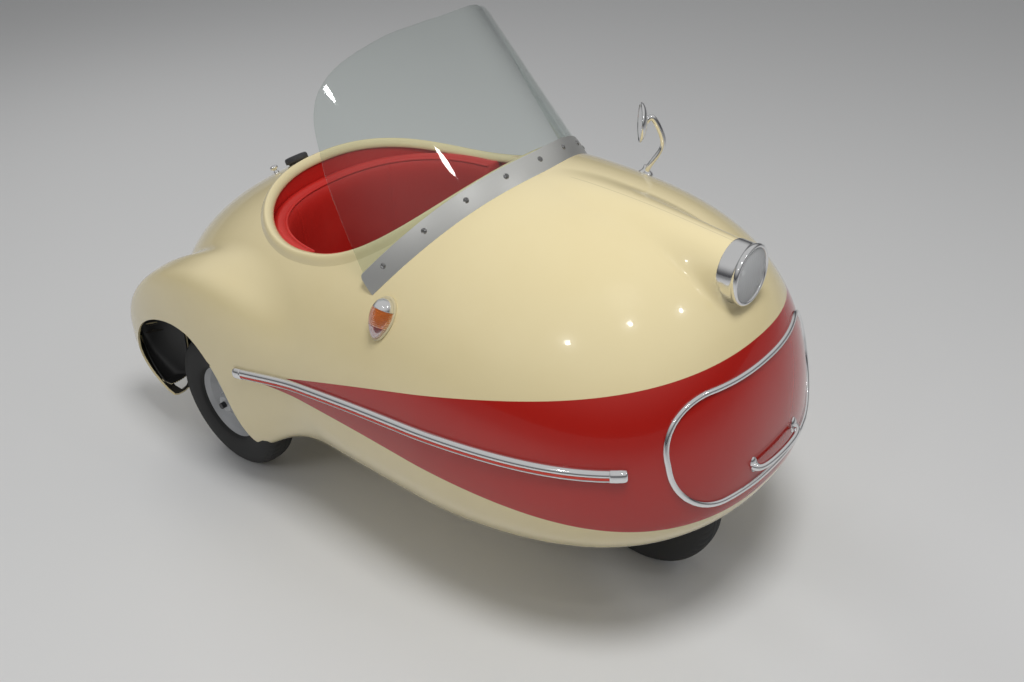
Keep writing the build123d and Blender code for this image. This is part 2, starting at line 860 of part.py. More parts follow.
with BuildPart() as front_fork:
    with BuildSketch(head_plane.offset(-head_length / 2 - 12)):
        Circle(steerer_r)
    extrude(amount=head_length / 2 + 12 + above_head)
    with BuildSketch(head_plane.offset(-head_length / 2 - 5)):
        RectangleRounded(2 * fork_x + 24, fork_crown_depth, 12)
    extrude(amount=-18)
    crown = head_plane.origin - Vector(*steer_axis) * (head_length / 2 + 14)
    for side in (-1, 1):
        top = Vector(side * fork_x, crown.Y, crown.Z)
        foot = Vector(side * fork_x, front_wheel_y, axle_z)
        with BuildSketch(Plane(origin=top, x_dir=(1, 0, 0), z_dir=foot - top)):
            Circle(fork_r)
        extrude(amount=(foot - top).length)
        with Locations(Location(foot, (0, 90, 0))):
            Cylinder(fork_r + 3, 2 * fork_r - 6)
        with Locations(Location((side * (hub_half_length + 1), front_wheel_y, axle_z), (0, side * 90, 0))):
            Cylinder(axle_r + 5, fork_x - hub_half_length - 1, align=(Align.CENTER, Align.CENTER, Align.MIN))
    with Locations(Location((0, front_wheel_y, axle_z), (0, 90, 0))):
        Cylinder(axle_r, 2 * (fork_x + fork_r + 10))

bar_centre = Vector(0, axis_y(bar_z), bar_z)
bar_plane = Plane(origin=bar_centre, x_dir=(1, 0, 0), z_dir=(0, 0, 1))
with BuildPart() as handlebar:
    for side in (-1, 1):
        with BuildLine(bar_plane) as run:
            Line((0, 0), (side * (grip_x - bar_bend_r), 0))
            ThreePointArc(
                (side * (grip_x - bar_bend_r), 0),
                (side * (grip_x - bar_bend_r * (1 - sqrt(0.5))), bar_bend_r * (1 - sqrt(0.5))),
                (side * grip_x, bar_bend_r),
            )
            Line((side * grip_x, bar_bend_r), (side * grip_x, bar_sweep))
        with BuildSketch(Plane(origin=bar_centre, z_dir=(side, 0, 0))):
            Circle(bar_r)
        sweep(path=run.line)
    with Locations(Location(bar_centre, (-rake, 0, 0))):
        Cylinder(steerer_r + 9, 36)
    with Locations(Location(bar_centre, (-rake, 0, 0))):
        Cylinder(steerer_r, 400, mode=Mode.SUBTRACT)

with BuildPart() as bar_grips:
    for side in (-1, 1):
        end = bar_centre + Vector(side * grip_x, bar_sweep, 0)
        with Locations(Location(end, (-90, 0, 0))):
            Cylinder(grip_r, grip_length, align=(Align.CENTER, Align.CENTER, Align.MAX))
    add(handlebar.part, mode=Mode.SUBTRACT)

# Frame
with BuildPart() as frame:
    for side in (-1, 1):
        with Locations(Location((side * rail_x, rail_front_y, rail_z), (-90, 0, 0))):
            Cylinder(rail_r, rear_wheel_y - rail_front_y, align=(Align.CENTER, Align.CENTER, Align.MIN))
        low = Vector(side * rail_x, rail_front_y, rail_z)
        high = Vector(0, axis_y(head_z) + 4, head_z)
        with BuildSketch(Plane(origin=low, z_dir=high - low)):
            Circle(rail_r - 2)
        extrude(amount=(high - low).length)
        with Locations((side * rail_x, rail_front_y, rail_z)):
            Sphere(rail_r)
    for y in (-200.0, engine_y - 70, engine_y + 70):
        with Locations(Location((0, y, rail_z), (0, 90, 0))):
            Cylinder(11, 2 * rail_x)
    for y in (engine_y - 70, engine_y + 70):
        with Locations(Location((rail_x, y, rail_z + 5), (0, 90, 0))):
            Cylinder(11, engine_x - rail_x, align=(Align.CENTER, Align.CENTER, Align.MIN))
    with Locations((0, rear_wheel_y, axle_z)):
        Box(2 * beam_half_length, 2 * beam_half, 2 * beam_half)
    with Locations(Location((0, rear_wheel_y, axle_z), (0, 90, 0))):
        Cylinder(axle_r, 2 * (rear_wheel_x + hub_half_length + 12))
        Cylinder(axle_r + 6, 2 * (rear_wheel_x - hub_half_length - 0.5))
    with BuildSketch(head_plane.offset(-head_length / 2)):
        Circle(head_tube_r)
    extrude(amount=head_length)
    with BuildSketch(head_plane.offset(-head_length)):
        Circle(steerer_r + bore_clearance)
    extrude(amount=2 * head_length, mode=Mode.SUBTRACT)

# Rubber mounts between the rails and the lower moulding
with BuildPart() as body_mounts:
    for y in mount_places:
        for side in (-1, 1):
            with Locations((side * rail_x, y, rail_z)):
                Cylinder(mount_r, 150, align=(Align.CENTER, Align.CENTER, Align.MAX))
    add(egg(-wall), mode=Mode.INTERSECT)
    add(frame.part, mode=Mode.SUBTRACT)

floor_z = rail_z + rail_r
with BuildPart() as floor_board:
    with BuildSketch(Plane.XY.offset(floor_z)):
        with Locations((0, (floor_front_y + floor_rear_y) / 2)):
            RectangleRounded(2 * floor_half_width, floor_rear_y - floor_front_y, 40)
    extrude(amount=floor_thickness)

base_z = floor_z + floor_thickness
seat_length = seat_rear_y - seat_front_y
seat_middle_y = (seat_rear_y + seat_front_y) / 2
with BuildPart() as seat_base:
    with Locations((0, seat_middle_y, base_z)):
        Box(2 * seat_half_width, seat_length, seat_base_height, align=(Align.CENTER, Align.CENTER, Align.MIN))
    fillet(seat_base.edges().filter_by(Axis.Z), 30)
    offset(amount=-4, openings=seat_base.faces().sort_by(Axis.Z)[0])

cushion_z = base_z + seat_base_height
with BuildPart() as seat_cushion:
    with Locations((0, seat_middle_y, cushion_z)):
        Box(2 * seat_half_width, seat_length, cushion_height, align=(Align.CENTER, Align.CENTER, Align.MIN))
    fillet(seat_cushion.edges().filter_by(Axis.Z), 40)
    fillet(seat_cushion.faces().sort_by(Axis.Z)[-1].edges(), 18)

# Seat back, an upholstered wall that follows the rear of the opening
with BuildPart() as seat_back:
    add(opening_column(-back_gap, lining_bottom_z, back_top_z))
    add(opening_column(-back_gap - back_thickness, lining_bottom_z - 10, back_top_z + 10), mode=Mode.SUBTRACT)
    with Locations((0, opening_y + 60, 0)):
        Box(2000, 2000, 3000, align=(Align.CENTER, Align.MAX, Align.CENTER), mode=Mode.SUBTRACT)

# Engine: crankcase with a finned barrel
with BuildPart() as engine:
    with Locations((engine_x, engine_y, rail_z + 16)):
        Box(
            2 * engine_half_width,
            2 * engine_half_length,
            crankcase_height,
            align=(Align.CENTER, Align.CENTER, Align.MIN),
        )
    fillet(engine.edges(), 10)
    with Locations((engine_x, engine_y, rail_z + 10 + crankcase_height)):
        Cylinder(barrel_r, 6 + fin_count * fin_pitch, align=(Align.CENTER, Align.CENTER, Align.MIN))
        for number in range(fin_count):
            with Locations((0, 0, (number + 1) * fin_pitch)):
                Box(2 * fin_half, 2 * fin_half, fin_thickness, align=(Align.CENTER, Align.CENTER, Align.MIN))

pieces = {
    "body_upper": body_upper.part,
    "body_lower": body_lower.part,
    "wheel_wells": wheel_wells.part,
    "cockpit_lining": cockpit_lining.part,
    "windscreen_strip": windscreen_strip.part,
    "windscreen": windscreen.part,
    "side_trim_right": side_trims["right"],
    "side_trim_left": side_trims["left"],
    "trim_insert_right": trim_inserts["right"],
    "trim_insert_left": trim_inserts["left"],
    "nose_ring": nose_ring.part,
    "nose_handle": nose_handle.part,
    "headlight_barrel": headlight_barrel.part,
    "headlight_reflector": headlight_reflector.part,
    "headlight_lens": headlight_lens.part,
    "side_lamp_pads": side_lamp_pads.part,
    "side_lamp_caps": side_lamps["side_lamp_caps"],
    "side_lamp_ambers": side_lamps["side_lamp_ambers"],
    "side_lamp_reds": side_lamps["side_lamp_reds"],
    "mirror_stem": mirror_stem.part,
    "mirror_head": mirror_head.part,
    "mirror_glass": mirror_glass.part,
    "filler_cap": filler_cap,
    "deck_knob": deck_knob,
    "tail_lamp": tail_lamp,
    "strip_screws": strip_screws.part,
    "front_fork": front_fork.part,
    "handlebar": handlebar.part,
    "bar_grips": bar_grips.part,
    "frame": frame.part,
    "body_mounts": body_mounts.part,
    "floor_board": floor_board.part,
    "seat_base": seat_base.part,
    "seat_cushion": seat_cushion.part,
    "seat_back": seat_back.part,
    "engine": engine.part,
}
for name, piece in pieces.items():
    piece.label = name
    export_step(piece, "parts/" + name + ".step")
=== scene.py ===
import json
from math import cos, pi, radians, sin

import bpy
import numpy as np
from bpy.props import FloatProperty, FloatVectorProperty, IntProperty, PointerProperty
from mathutils import Matrix, Vector

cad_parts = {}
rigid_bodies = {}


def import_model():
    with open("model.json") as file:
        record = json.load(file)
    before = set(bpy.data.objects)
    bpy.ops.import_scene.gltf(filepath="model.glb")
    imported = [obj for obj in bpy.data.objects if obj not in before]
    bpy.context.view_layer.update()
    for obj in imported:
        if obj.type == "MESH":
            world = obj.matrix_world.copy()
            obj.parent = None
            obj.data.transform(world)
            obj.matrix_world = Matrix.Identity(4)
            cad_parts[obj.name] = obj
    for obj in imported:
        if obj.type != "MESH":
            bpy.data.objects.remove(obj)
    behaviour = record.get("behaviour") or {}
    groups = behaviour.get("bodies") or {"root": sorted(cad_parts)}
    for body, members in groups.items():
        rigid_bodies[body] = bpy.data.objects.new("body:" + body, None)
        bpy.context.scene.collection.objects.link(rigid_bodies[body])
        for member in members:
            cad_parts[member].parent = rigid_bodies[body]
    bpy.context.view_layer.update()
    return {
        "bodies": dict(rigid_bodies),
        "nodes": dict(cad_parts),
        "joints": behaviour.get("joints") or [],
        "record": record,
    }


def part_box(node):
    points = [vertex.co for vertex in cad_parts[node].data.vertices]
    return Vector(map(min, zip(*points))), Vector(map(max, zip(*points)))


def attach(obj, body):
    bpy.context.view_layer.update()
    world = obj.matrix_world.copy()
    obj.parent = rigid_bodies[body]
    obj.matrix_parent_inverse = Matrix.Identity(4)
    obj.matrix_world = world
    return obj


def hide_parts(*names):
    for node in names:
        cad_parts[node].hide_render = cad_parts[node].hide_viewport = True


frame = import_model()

bl_info = {
    "name": "Three wheeled car",
    "version": (1, 0, 0),
    "blender": (4, 5, 0),
    "location": "3D View > Sidebar > Car",
    "description": "Dresses the packed car with its moulded body, trim, lamps, seat and tyres",
    "category": "Object",
}

MM = 0.001

# Body form, an egg with two pods and a fairing
NOSE_Y, WIDEST_Y, TAIL_Y = -841.0, -263.4, 801.0
WAIST_Z, WAIST_RISE = 402.0, 10.0
HALF_WIDTH, WIDTH_GAINS = 436.0, (0.2553, 0.60)
CROWN, CROWN_GAINS = 475.3, (0.4495, -0.0658)
BELLY, BELLY_GAIN = 280.8, 0.2992
SIDE_POWER, HEIGHT_POWERS, LENGTH_POWERS, EGG_SIZE = 2.2, (1.956, 2.447), (1.85, 1.75), 340.0
POD = (383.4, 434.9, 331.1)
POD_RADII = (70.1, 257.6, 225.0)
POD_LENGTHS, POD_END_POWERS = (295.3, 408.1), (2.0, 1.66)
POD_POWER, POD_FALL, POD_VALLEY, POD_SIZE = 3.0, -0.132, 50.5, 120.0
LAMP_Z, FAIRING_FRONT_Y, FAIRING_VALLEY = 788.0, -719.0, 26.0
FAIRING_R, FAIRING_FLARE = 57.0, 0.013
FAIRING_RISE, FAIRING_DROOP = 0.13, 0.00023
FAIRING_FADE, FAIRING_FADE_Y = 0.0009, -400.0
WALL = 5.0

# Search for the form
HUB, HUB_RANGE = (0.0, -200.0, 600.0), (40, 1250)
MARCH_STEPS, HALVINGS, CUT_HALVINGS = 110, 30, 14
TOP_START_Z, NOSE_START_Y = 430.0, -300.0
FLANK_REACH, NOSE_REACH = 700, 800

# Wheels and arches
TYRE_R, TYRE_WIDTH = 185.0, 88.0
REAR_X, REAR_Y, FRONT_Y = 344.0, 477.0, -544.0
WELL_X = REAR_X - TYRE_WIDTH / 2 - 15
ARCH = (
    (1.74, 0.12), (1.72, 0.32), (1.61, 0.58), (1.38, 0.86), (1.10, 1.07), (0.73, 1.25), (0.33, 1.355),
    (0.0, 1.36), (-0.22, 1.29), (-0.39, 1.16), (-0.51, 1.02), (-0.60, 0.87), (-0.67, 0.70), (-0.73, 0.50),
    (-0.80, 0.28), (-0.90, 0.06), (-1.0, -0.20), (-1.02, -0.45),
)

# Openings of the shell and its seam
OPENING = (318.0, 315.0, 117.0, 2.25)
LIP_SEAT, OPENING_LOW_Z = 9.0, 500
ARCH_TAIL_Y, ARCH_TAIL_X = 640, 412
WHEEL_GAP, WHEEL_CUT_X = 30, 425
SLOT_HALF_X, SLOT_GAP, SLOT_CORNER, SLOT_TOP_Z = 135, 28, 110, 324
LAMP_HOLE_R, LAMP_HOLE_DEPTH = 58.4, 3
AXLE_CUT_X, AXLE_CUT_Y, AXLE_CUT_TOP_Z = 300, 30, 212
TAIL_CUT_X, TAIL_CUT_Y, TAIL_CUT_SLOPE = 290, 693.0, 1.15
SEAM_R, SEAM_CREST_Y, SEAM_CREST_Z = 7006.0, -944.0, 506.0


# Sizes and colours
class CarBodySizes(bpy.types.PropertyGroup):
    rows: IntProperty(name="Rows", description="Grid rows of the body from nose to tail", default=232, min=60)
    columns: IntProperty(name="Columns", description="Grid columns around the body", default=332, min=80)
    lip_width: FloatProperty(
        name="Lip width", description="Width of the rolled cockpit lip", default=0.028, unit="LENGTH"
    )
    lip_height: FloatProperty(
        name="Lip height", description="Height of the lip over the body", default=0.0075, unit="LENGTH"
    )


class CarColours(bpy.types.PropertyGroup):
    ivory: FloatVectorProperty(
        name="Ivory", description="Main paint", subtype="COLOR", size=3, default=(0.78, 0.665, 0.385)
    )
    red: FloatVectorProperty(
        name="Red", description="Paint of the side and nose band", subtype="COLOR", size=3,
        default=(0.40, 0.007, 0.0022),
    )
    leather: FloatVectorProperty(
        name="Leathercloth", description="Seat and lining", subtype="COLOR", size=3,
        default=(0.60, 0.024, 0.018),
    )
    amber: FloatVectorProperty(
        name="Amber", description="Side lamp glass", subtype="COLOR", size=3, default=(0.75, 0.17, 0.005)
    )
    lens_red: FloatVectorProperty(
        name="Lens red", description="Red lamp glass", subtype="COLOR", size=3, default=(0.28, 0.004, 0.002)
    )
    floor: FloatVectorProperty(
        name="Floor", description="Studio floor", subtype="COLOR", size=3, default=(0.72, 0.72, 0.715)
    )


class CarTrimSizes(bpy.types.PropertyGroup):
    moulding_height: FloatProperty(
        name="Moulding height", description="Height of the side moulding", default=0.026, unit="LENGTH"
    )
    moulding_proud: FloatProperty(
        name="Moulding depth", description="How far it stands out", default=0.012, unit="LENGTH"
    )
    ring_bead: FloatProperty(
        name="Ring bead", description="Width of the nose ring's bead", default=0.012, unit="LENGTH"
    )
    handle_r: FloatProperty(
        name="Handle radius", description="Radius of the nose handle", default=0.0065, unit="LENGTH"
    )
    strip_thickness: FloatProperty(
        name="Strip thickness", description="Thickness of the clamp strip", default=0.004, unit="LENGTH"
    )
    screen_thickness: FloatProperty(
        name="Screen thickness", description="Thickness of the clear sheet", default=0.003, unit="LENGTH"
    )
    strip_width: FloatProperty(
        name="Strip width", description="Width of the clamp strip", default=0.044, unit="LENGTH"
    )


# Shader arithmetic
class Wire:
    """A socket that Python arithmetic can use: each operation adds one Math node."""

    def __init__(self, tree, socket):
        self.tree = tree
        self.socket = socket

    def math(self, operation, *values):
        """The result of one Math node on these values, which are wires or numbers."""
        node = self.tree.nodes.new("ShaderNodeMath")
        node.operation = operation
        for place, value in enumerate(values):
            feed(self.tree, node.inputs[place], value)
        return Wire(self.tree, node.outputs[0])

    def __add__(self, other):
        return self.math("ADD", self, other)

    __radd__ = __add__

    def __sub__(self, other):
        return self.math("SUBTRACT", self, other)

    def __rsub__(self, other):
        return self.math("SUBTRACT", other, self)

    def __mul__(self, other):
        return self.math("MULTIPLY", self, other)

    __rmul__ = __mul__

    def __abs__(self):
        return self.math("ABSOLUTE", self)

    def least(self, other):
        return self.math("MINIMUM", self, other)

    def most(self, other):
        return self.math("MAXIMUM", self, other)

    def power(self, other):
        return self.math("POWER", self, other)

    def step(self, low, high):
        """Smooth step from 0 at low to 1 at high."""
        node = self.tree.nodes.new("ShaderNodeMapRange")
        node.interpolation_type = "SMOOTHSTEP"
        for place, value in enumerate((self, low, high, 0.0, 1.0)):
            feed(self.tree, node.inputs[place], value)
        return Wire(self.tree, node.outputs[0])


def feed(tree, socket, value):
    """Links a wire to a socket, or sets the socket's own value."""
    if isinstance(value, Wire):
        tree.links.new(value.socket, socket)
    elif isinstance(value, (tuple, list)) and len(value) == 3 and socket.type == "RGBA":
        socket.default_value = (*value, 1.0)
    else:
        socket.default_value = value


class Finish:
    """A material with one Principled shader; node() adds any other node."""

    def __init__(self, name):
        self.material = bpy.data.materials.new(name)
        self.material.use_nodes = True
        self.tree = self.material.node_tree
        self.tree.nodes.clear()
        self.place = self.node("ShaderNodeTexCoord", out="Object")

    def node(self, kind, settings=None, sockets=None, out=0):
        """Adds a node, sets its settings, then feeds its sockets, and gives back one of its outputs."""
        node = self.tree.nodes.new(kind)
        for name, value in (settings or {}).items():
            setattr(node, name, value)
        for name, value in (sockets or {}).items():
            feed(self.tree, node.inputs[name], value)
        return Wire(self.tree, node.outputs[out])

    def axes(self):
        """The object's x, y and z in metres."""
        return [self.node("ShaderNodeSeparateXYZ", None, {0: self.place}, axis) for axis in "XYZ"]

    def noise(self, scale, detail=3.0, roughness=0.5, stretch=(1.0, 1.0, 1.0)):
        where = self.node("ShaderNodeMapping", None, {"Vector": self.place, "Scale": stretch})
        sockets = {"Vector": where, "Scale": scale, "Detail": detail, "Roughness": roughness}
        return self.node("ShaderNodeTexNoise", None, sockets)

    def cells(self, scale, feature="F1"):
        sockets = {"Vector": self.place, "Scale": scale}
        return self.node("ShaderNodeTexVoronoi", {"feature": feature}, sockets, "Distance")

    def mix(self, share, first, second):
        """Colour between first and second."""
        return self.node("ShaderNodeMix", {"data_type": "RGBA"}, {"Factor": share, 6: first, 7: second}, 2)

    def sheen(self, straight=0.04):
        """Mirror share of a clear face, straight + (1 - straight) (1 - cos)^5, alike from both sides."""
        facing = self.node("ShaderNodeLayerWeight", None, {"Blend": 0.5}, "Facing")
        return facing.power(5.0) * (1 - straight) + straight

    def bump(self, height, distance, strength=1.0, under=None):
        sockets = {"Height": height, "Distance": distance, "Strength": strength}
        if under:
            sockets["Normal"] = under
        return self.node("ShaderNodeBump", None, sockets)

    def shade(self, sockets):
        """Sets the Principled shader's sockets and joins it to the output."""
        return self.show(self.node("ShaderNodeBsdfPrincipled", None, sockets))

    def glaze(self, share, tint, roughness, through):
        """A clear face: see-through in one colour, mixed by share with a mirror of the other."""
        mirror = {"Base Color": tint, "Metallic": 1.0, "Roughness": roughness}
        gloss = self.node("ShaderNodeBsdfPrincipled", None, mirror)
        clear = self.node("ShaderNodeBsdfTransparent", None, {"Color": through})
        return self.show(self.node("ShaderNodeMixShader", None, {0: share, 1: clear, 2: gloss}))

    def show(self, shader):
        output = self.tree.nodes.new("ShaderNodeOutputMaterial")
        feed(self.tree, output.inputs["Surface"], shader)
        return self.material


# Body form
def soft_least(first, second, reach):
    """Smooth minimum: with h = clip(1/2 + (second - first) / (2 reach), 0, 1) it is
    second + (first - second) h - reach h (1 - h)."""
    share = np.clip(0.5 + (second - first) / (2 * reach), 0, 1)
    return second + (first - second) * share - reach * share * (1 - share)


def form_field(points):
    """Signed height over the body in millimetres, below zero inside it. The main form is
    (sqrt(|x/a|^2.2 + |z/b|^m + |t|^n) - 1) times its size, with t the share of its length and a and b
    growing with t squared. Each pod is a long form of squarer section, |x/a|^3 + |z/b|^3, that falls
    to the tail. The fairing is a cone along y whose axis rises by r u - d u^2 over the run u behind the
    headlight, and whose radius shrinks with the square of the way past its fade line. Soft minima
    join them. Of two values in a constant, the first holds ahead of the widest place or above the
    waist, and the second behind or below it."""
    x, y, z = np.abs(points[..., 0]), points[..., 1], points[..., 2]
    run = y - WIDEST_Y
    ahead = run < 0
    share = run / np.where(ahead, WIDEST_Y - NOSE_Y, TAIL_Y - WIDEST_Y)
    square = share * share
    half = HALF_WIDTH * (1 + np.where(ahead, *WIDTH_GAINS) * square)
    lift = z - WAIST_Z - WAIST_RISE * share
    above = lift > 0
    crown = CROWN * (1 + np.where(ahead, *CROWN_GAINS) * square)
    height = np.where(above, crown, BELLY * (1 + BELLY_GAIN * share))
    sides = (x / half) ** SIDE_POWER
    heights = np.abs(lift / height) ** np.where(above, *HEIGHT_POWERS)
    lengths = np.abs(share) ** np.where(ahead, *LENGTH_POWERS)
    egg = (np.sqrt(sides + heights + lengths) - 1) * EGG_SIZE
    run = y - POD[1]
    front = run < 0
    ends = np.abs(run / np.where(front, *POD_LENGTHS)) ** np.where(front, *POD_END_POWERS)
    lift = z - POD[2] - POD_FALL * run
    ring = np.abs((x - POD[0]) / POD_RADII[0]) ** POD_POWER
    ring += np.abs(lift / np.where(lift > 0, *POD_RADII[1:])) ** POD_POWER
    pod = (np.sqrt(ring ** (2 / POD_POWER) + ends) - 1) * POD_SIZE
    run = np.maximum(y - FAIRING_FRONT_Y, 0)
    rise = np.maximum(FAIRING_RISE * run - FAIRING_DROOP * run**2, 0)
    fade = FAIRING_FADE * np.maximum(y - FAIRING_FADE_Y, 0) ** 2
    cone = np.hypot(x, z - LAMP_Z - rise) - FAIRING_R - FAIRING_FLARE * run + fade
    fairing = np.maximum(cone, FAIRING_FRONT_Y - 2 - y)
    return soft_least(soft_least(egg, pod, POD_VALLEY), fairing, FAIRING_VALLEY)


def form_normal(points, gap=0.5):
    """Unit gradient of form_field by central differences."""
    slopes = []
    for axis in range(3):
        shift = np.zeros(3)
        shift[axis] = gap
        slopes.append(form_field(points + shift) - form_field(points - shift))
    normal = np.stack(slopes, -1)
    return normal / np.linalg.norm(normal, axis=-1, keepdims=True)


def reach_form(start, heading, near, far, height=0.0, steps=1):
    """Where start + r heading last has form_field = height: r comes back in equal steps until one
    starts inside, and the range of that step is halved again and again."""
    start, heading = np.broadcast_arrays(np.asarray(start, float), np.asarray(heading, float))
    low = np.full(start.shape[:-1], float(near))
    high = np.full(start.shape[:-1], float(far))
    found = np.zeros(start.shape[:-1], bool)
    radii = np.linspace(near, far, steps + 1)
    for first, last in zip(radii[-2:0:-1], radii[:1:-1]):
        leaves = ~found & (form_field(start + heading * first) < height)
        low = np.where(leaves, first, low)
        high = np.where(leaves, last, high)
        found |= leaves
    if steps > 1:
        high = np.where(found, high, radii[1])
    for _ in range(HALVINGS):
        middle = (low + high) / 2
        inside = form_field(start + heading * middle[..., None]) < height
        low = np.where(inside, middle, low)
        high = np.where(inside, high, middle)
    return start + heading * low[..., None]


def on_top(x, y, height=0.0):
    """Points of the body's upper side over x, y."""
    x, y = np.broadcast_arrays(np.asarray(x, float), np.asarray(y, float))
    start = np.stack([x, y, np.full(x.shape, TOP_START_Z)], -1)
    return reach_form(start, (0, 0, 1), 0, FLANK_REACH, height)


def on_side(side, y, z, height=0.0):
    """Points of the body's flank beside y, z."""
    y, z = np.broadcast_arrays(np.asarray(y, float), np.asarray(z, float))
    start = np.stack([np.zeros(y.shape), y, z], -1)
    return reach_form(start, (side, 0, 0), 0, FLANK_REACH, height)


def on_nose(x, z, height=0.0):
    """Points of the nose in front of x, z."""
    x, z = np.broadcast_arrays(np.asarray(x, float), np.asarray(z, float))
    start = np.stack([x, np.full(x.shape, NOSE_START_Y), z], -1)
    return reach_form(start, (0, -1, 0), 0, NOSE_REACH, height)


def from_hub(rays):
    """Points where rays from the hub last leave the body."""
    return reach_form(HUB, rays, *HUB_RANGE, steps=MARCH_STEPS)


def seam_z(y):
    """Height of the seam: a circular arc seen from the side."""
    return SEAM_CREST_Z - SEAM_R + np.sqrt(SEAM_R**2 - (y - SEAM_CREST_Y) ** 2)


def opening_line(share, grow=0.0):
    """Cockpit opening in plan, the superellipse |x/a|^p + |y/b|^p = 1 at an angle share of a turn."""
    half, length, middle, power = OPENING
    turn = 2 * pi * share
    ray = np.stack([np.cos(turn), np.sin(turn)], -1)
    a, b = half + grow, length + grow
    reach = (np.abs(ray[..., 0] / a) ** power + np.abs(ray[..., 1] / b) ** power) ** (-1 / power)
    return ray[..., 0] * reach, middle + ray[..., 1] * reach


def opening_height(x, y):
    """Distance outside the cockpit opening in plan, below zero inside it."""
    half, length, middle, power = OPENING
    level = (np.abs(x / half) ** power + np.abs((y - middle) / length) ** power) ** (1 / power)
    return (level - 1) * (half + length) / 2


def arch_line(count, grow=1.0):
    """Side view of a wheel arch, a curve through ARCH from its rear foot over the axle to the front."""
    line = spline(np.array(ARCH), count) * TYRE_R * grow
    return line[:, 0] + REAR_Y, line[:, 1] + TYRE_R


def arch_outline():
    """The arch closed below the car."""
    feet = [(REAR_Y + ARCH[-1][0] * TYRE_R, 0.0), (REAR_Y + ARCH[0][0] * TYRE_R, 0.0)]
    return np.concatenate([np.stack(arch_line(70), -1), feet])


def outside_loop(loop, y, z):
    """Signed distance to a closed loop of straight sides, below zero inside."""
    start, end = loop, np.roll(loop, -1, 0)
    side = end - start
    offset_y, offset_z = y[..., None] - start[:, 0], z[..., None] - start[:, 1]
    share = np.clip((offset_y * side[:, 0] + offset_z * side[:, 1]) / (side**2).sum(1), 0, 1)
    gap = np.hypot(offset_y - share * side[:, 0], offset_z - share * side[:, 1]).min(-1)
    crossing = (start[:, 1] > z[..., None]) != (end[:, 1] > z[..., None])
    rise = np.where(side[:, 1] == 0, 1, side[:, 1])
    left = y[..., None] < start[:, 0] + side[:, 0] * offset_z / rise
    inside = (crossing & left).sum(-1) % 2 == 1
    return np.where(inside, -gap, gap)


def clear_of_openings(points):
    """Distance to the nearest opening of the shell, below zero inside an opening."""
    x, y, z = np.abs(points[..., 0]), points[..., 1], points[..., 2]
    lift = z - POD[2] - POD_FALL * (y - POD[1])
    around_axle = np.hypot(y - REAR_Y, z - TYRE_R)
    slot_y = np.abs(y - FRONT_Y) - (TYRE_R + SLOT_GAP - SLOT_CORNER)
    slot_x = x - (SLOT_HALF_X - SLOT_CORNER)
    slot = np.hypot(np.maximum(slot_x, 0), np.maximum(slot_y, 0))
    slot = slot + np.minimum(np.maximum(slot_x, slot_y), 0) - SLOT_CORNER
    arch = np.maximum(outside_loop(arch_outline(), y, z), WELL_X - x)
    hole = np.hypot(x, z - LAMP_Z) - LAMP_HOLE_R
    under_tail = lift - TAIL_CUT_SLOPE * (POD[0] - x)
    openings = (
        np.maximum(opening_height(x, y) - LIP_SEAT, OPENING_LOW_Z - z),
        np.maximum(arch, np.minimum(y - ARCH_TAIL_Y, ARCH_TAIL_X - x)),
        np.maximum.reduce([around_axle - TYRE_R - WHEEL_GAP, WELL_X - x, x - WHEEL_CUT_X]),
        np.maximum(slot, z - SLOT_TOP_Z),
        np.maximum(hole, y - (FAIRING_FRONT_Y + LAMP_HOLE_DEPTH)),
        np.maximum.reduce([x - AXLE_CUT_X, np.abs(y - REAR_Y) - AXLE_CUT_Y, z - AXLE_CUT_TOP_Z]),
        np.maximum.reduce([TAIL_CUT_Y - y, x - POD[0], TAIL_CUT_X - x, under_tail]),
    )
    return np.minimum.reduce(openings)


def below_seam(points):
    """Below zero for the lower moulding: under the seam and ahead of the rear axle."""
    return np.maximum(points[..., 2] - seam_z(np.clip(points[..., 1], -2000, 2000)), points[..., 1] - REAR_Y)


# Meshes
def smooth_loop(corners, count):
    """Closed uniform cubic B-spline round the polygon of corners, evaluated at count places."""
    corners = np.asarray(corners, float)
    spans = len(corners)
    place = np.linspace(0, spans, count, endpoint=False)
    first = np.minimum(place.astype(int), spans - 1)
    t = (place - first)[:, None]
    weights = ((1 - t) ** 3, 3 * t**3 - 6 * t**2 + 4, -3 * t**3 + 3 * t**2 + 3 * t + 1, t**3)
    return sum(w * corners[(first + k) % spans] for k, w in enumerate(weights)) / 6


def spline(points, count):
    """Catmull-Rom curve through points, evaluated at count places."""
    points = np.asarray(points, float)
    ends = np.concatenate([2 * points[:1] - points[1:2], points, 2 * points[-1:] - points[-2:-1]])
    place = np.linspace(0, len(points) - 1, count)
    first = np.minimum(place.astype(int), len(points) - 2)
    t = (place - first)[:, None]
    a, b, c, d = (ends[first + k] for k in range(4))
    square, cube = 2 * a - 5 * b + 4 * c - d, 3 * b - a - 3 * c + d
    return 0.5 * (2 * b + (c - a) * t + square * t**2 + cube * t**3)


def full_turn(count):
    """Evenly spaced angles of a full turn."""
    return 2 * pi * np.arange(count) / count


def unit(vectors):
    """The vectors at length 1."""
    return vectors / np.linalg.norm(vectors, axis=-1, keepdims=True)


def grid_faces(rows, columns, around=True, flip=False):
    """Quads of a grid of points; around joins the last column to the first."""
    across = columns if around else columns - 1
    row, column = np.meshgrid(np.arange(rows - 1) * columns, np.arange(across), indexing="ij")
    beside = (column + 1) % columns
    quads = [row + column, row + beside, row + columns + beside, row + columns + column]
    quads = np.stack(quads, -1).reshape(-1, 4)
    return quads[:, ::-1] if flip else quads


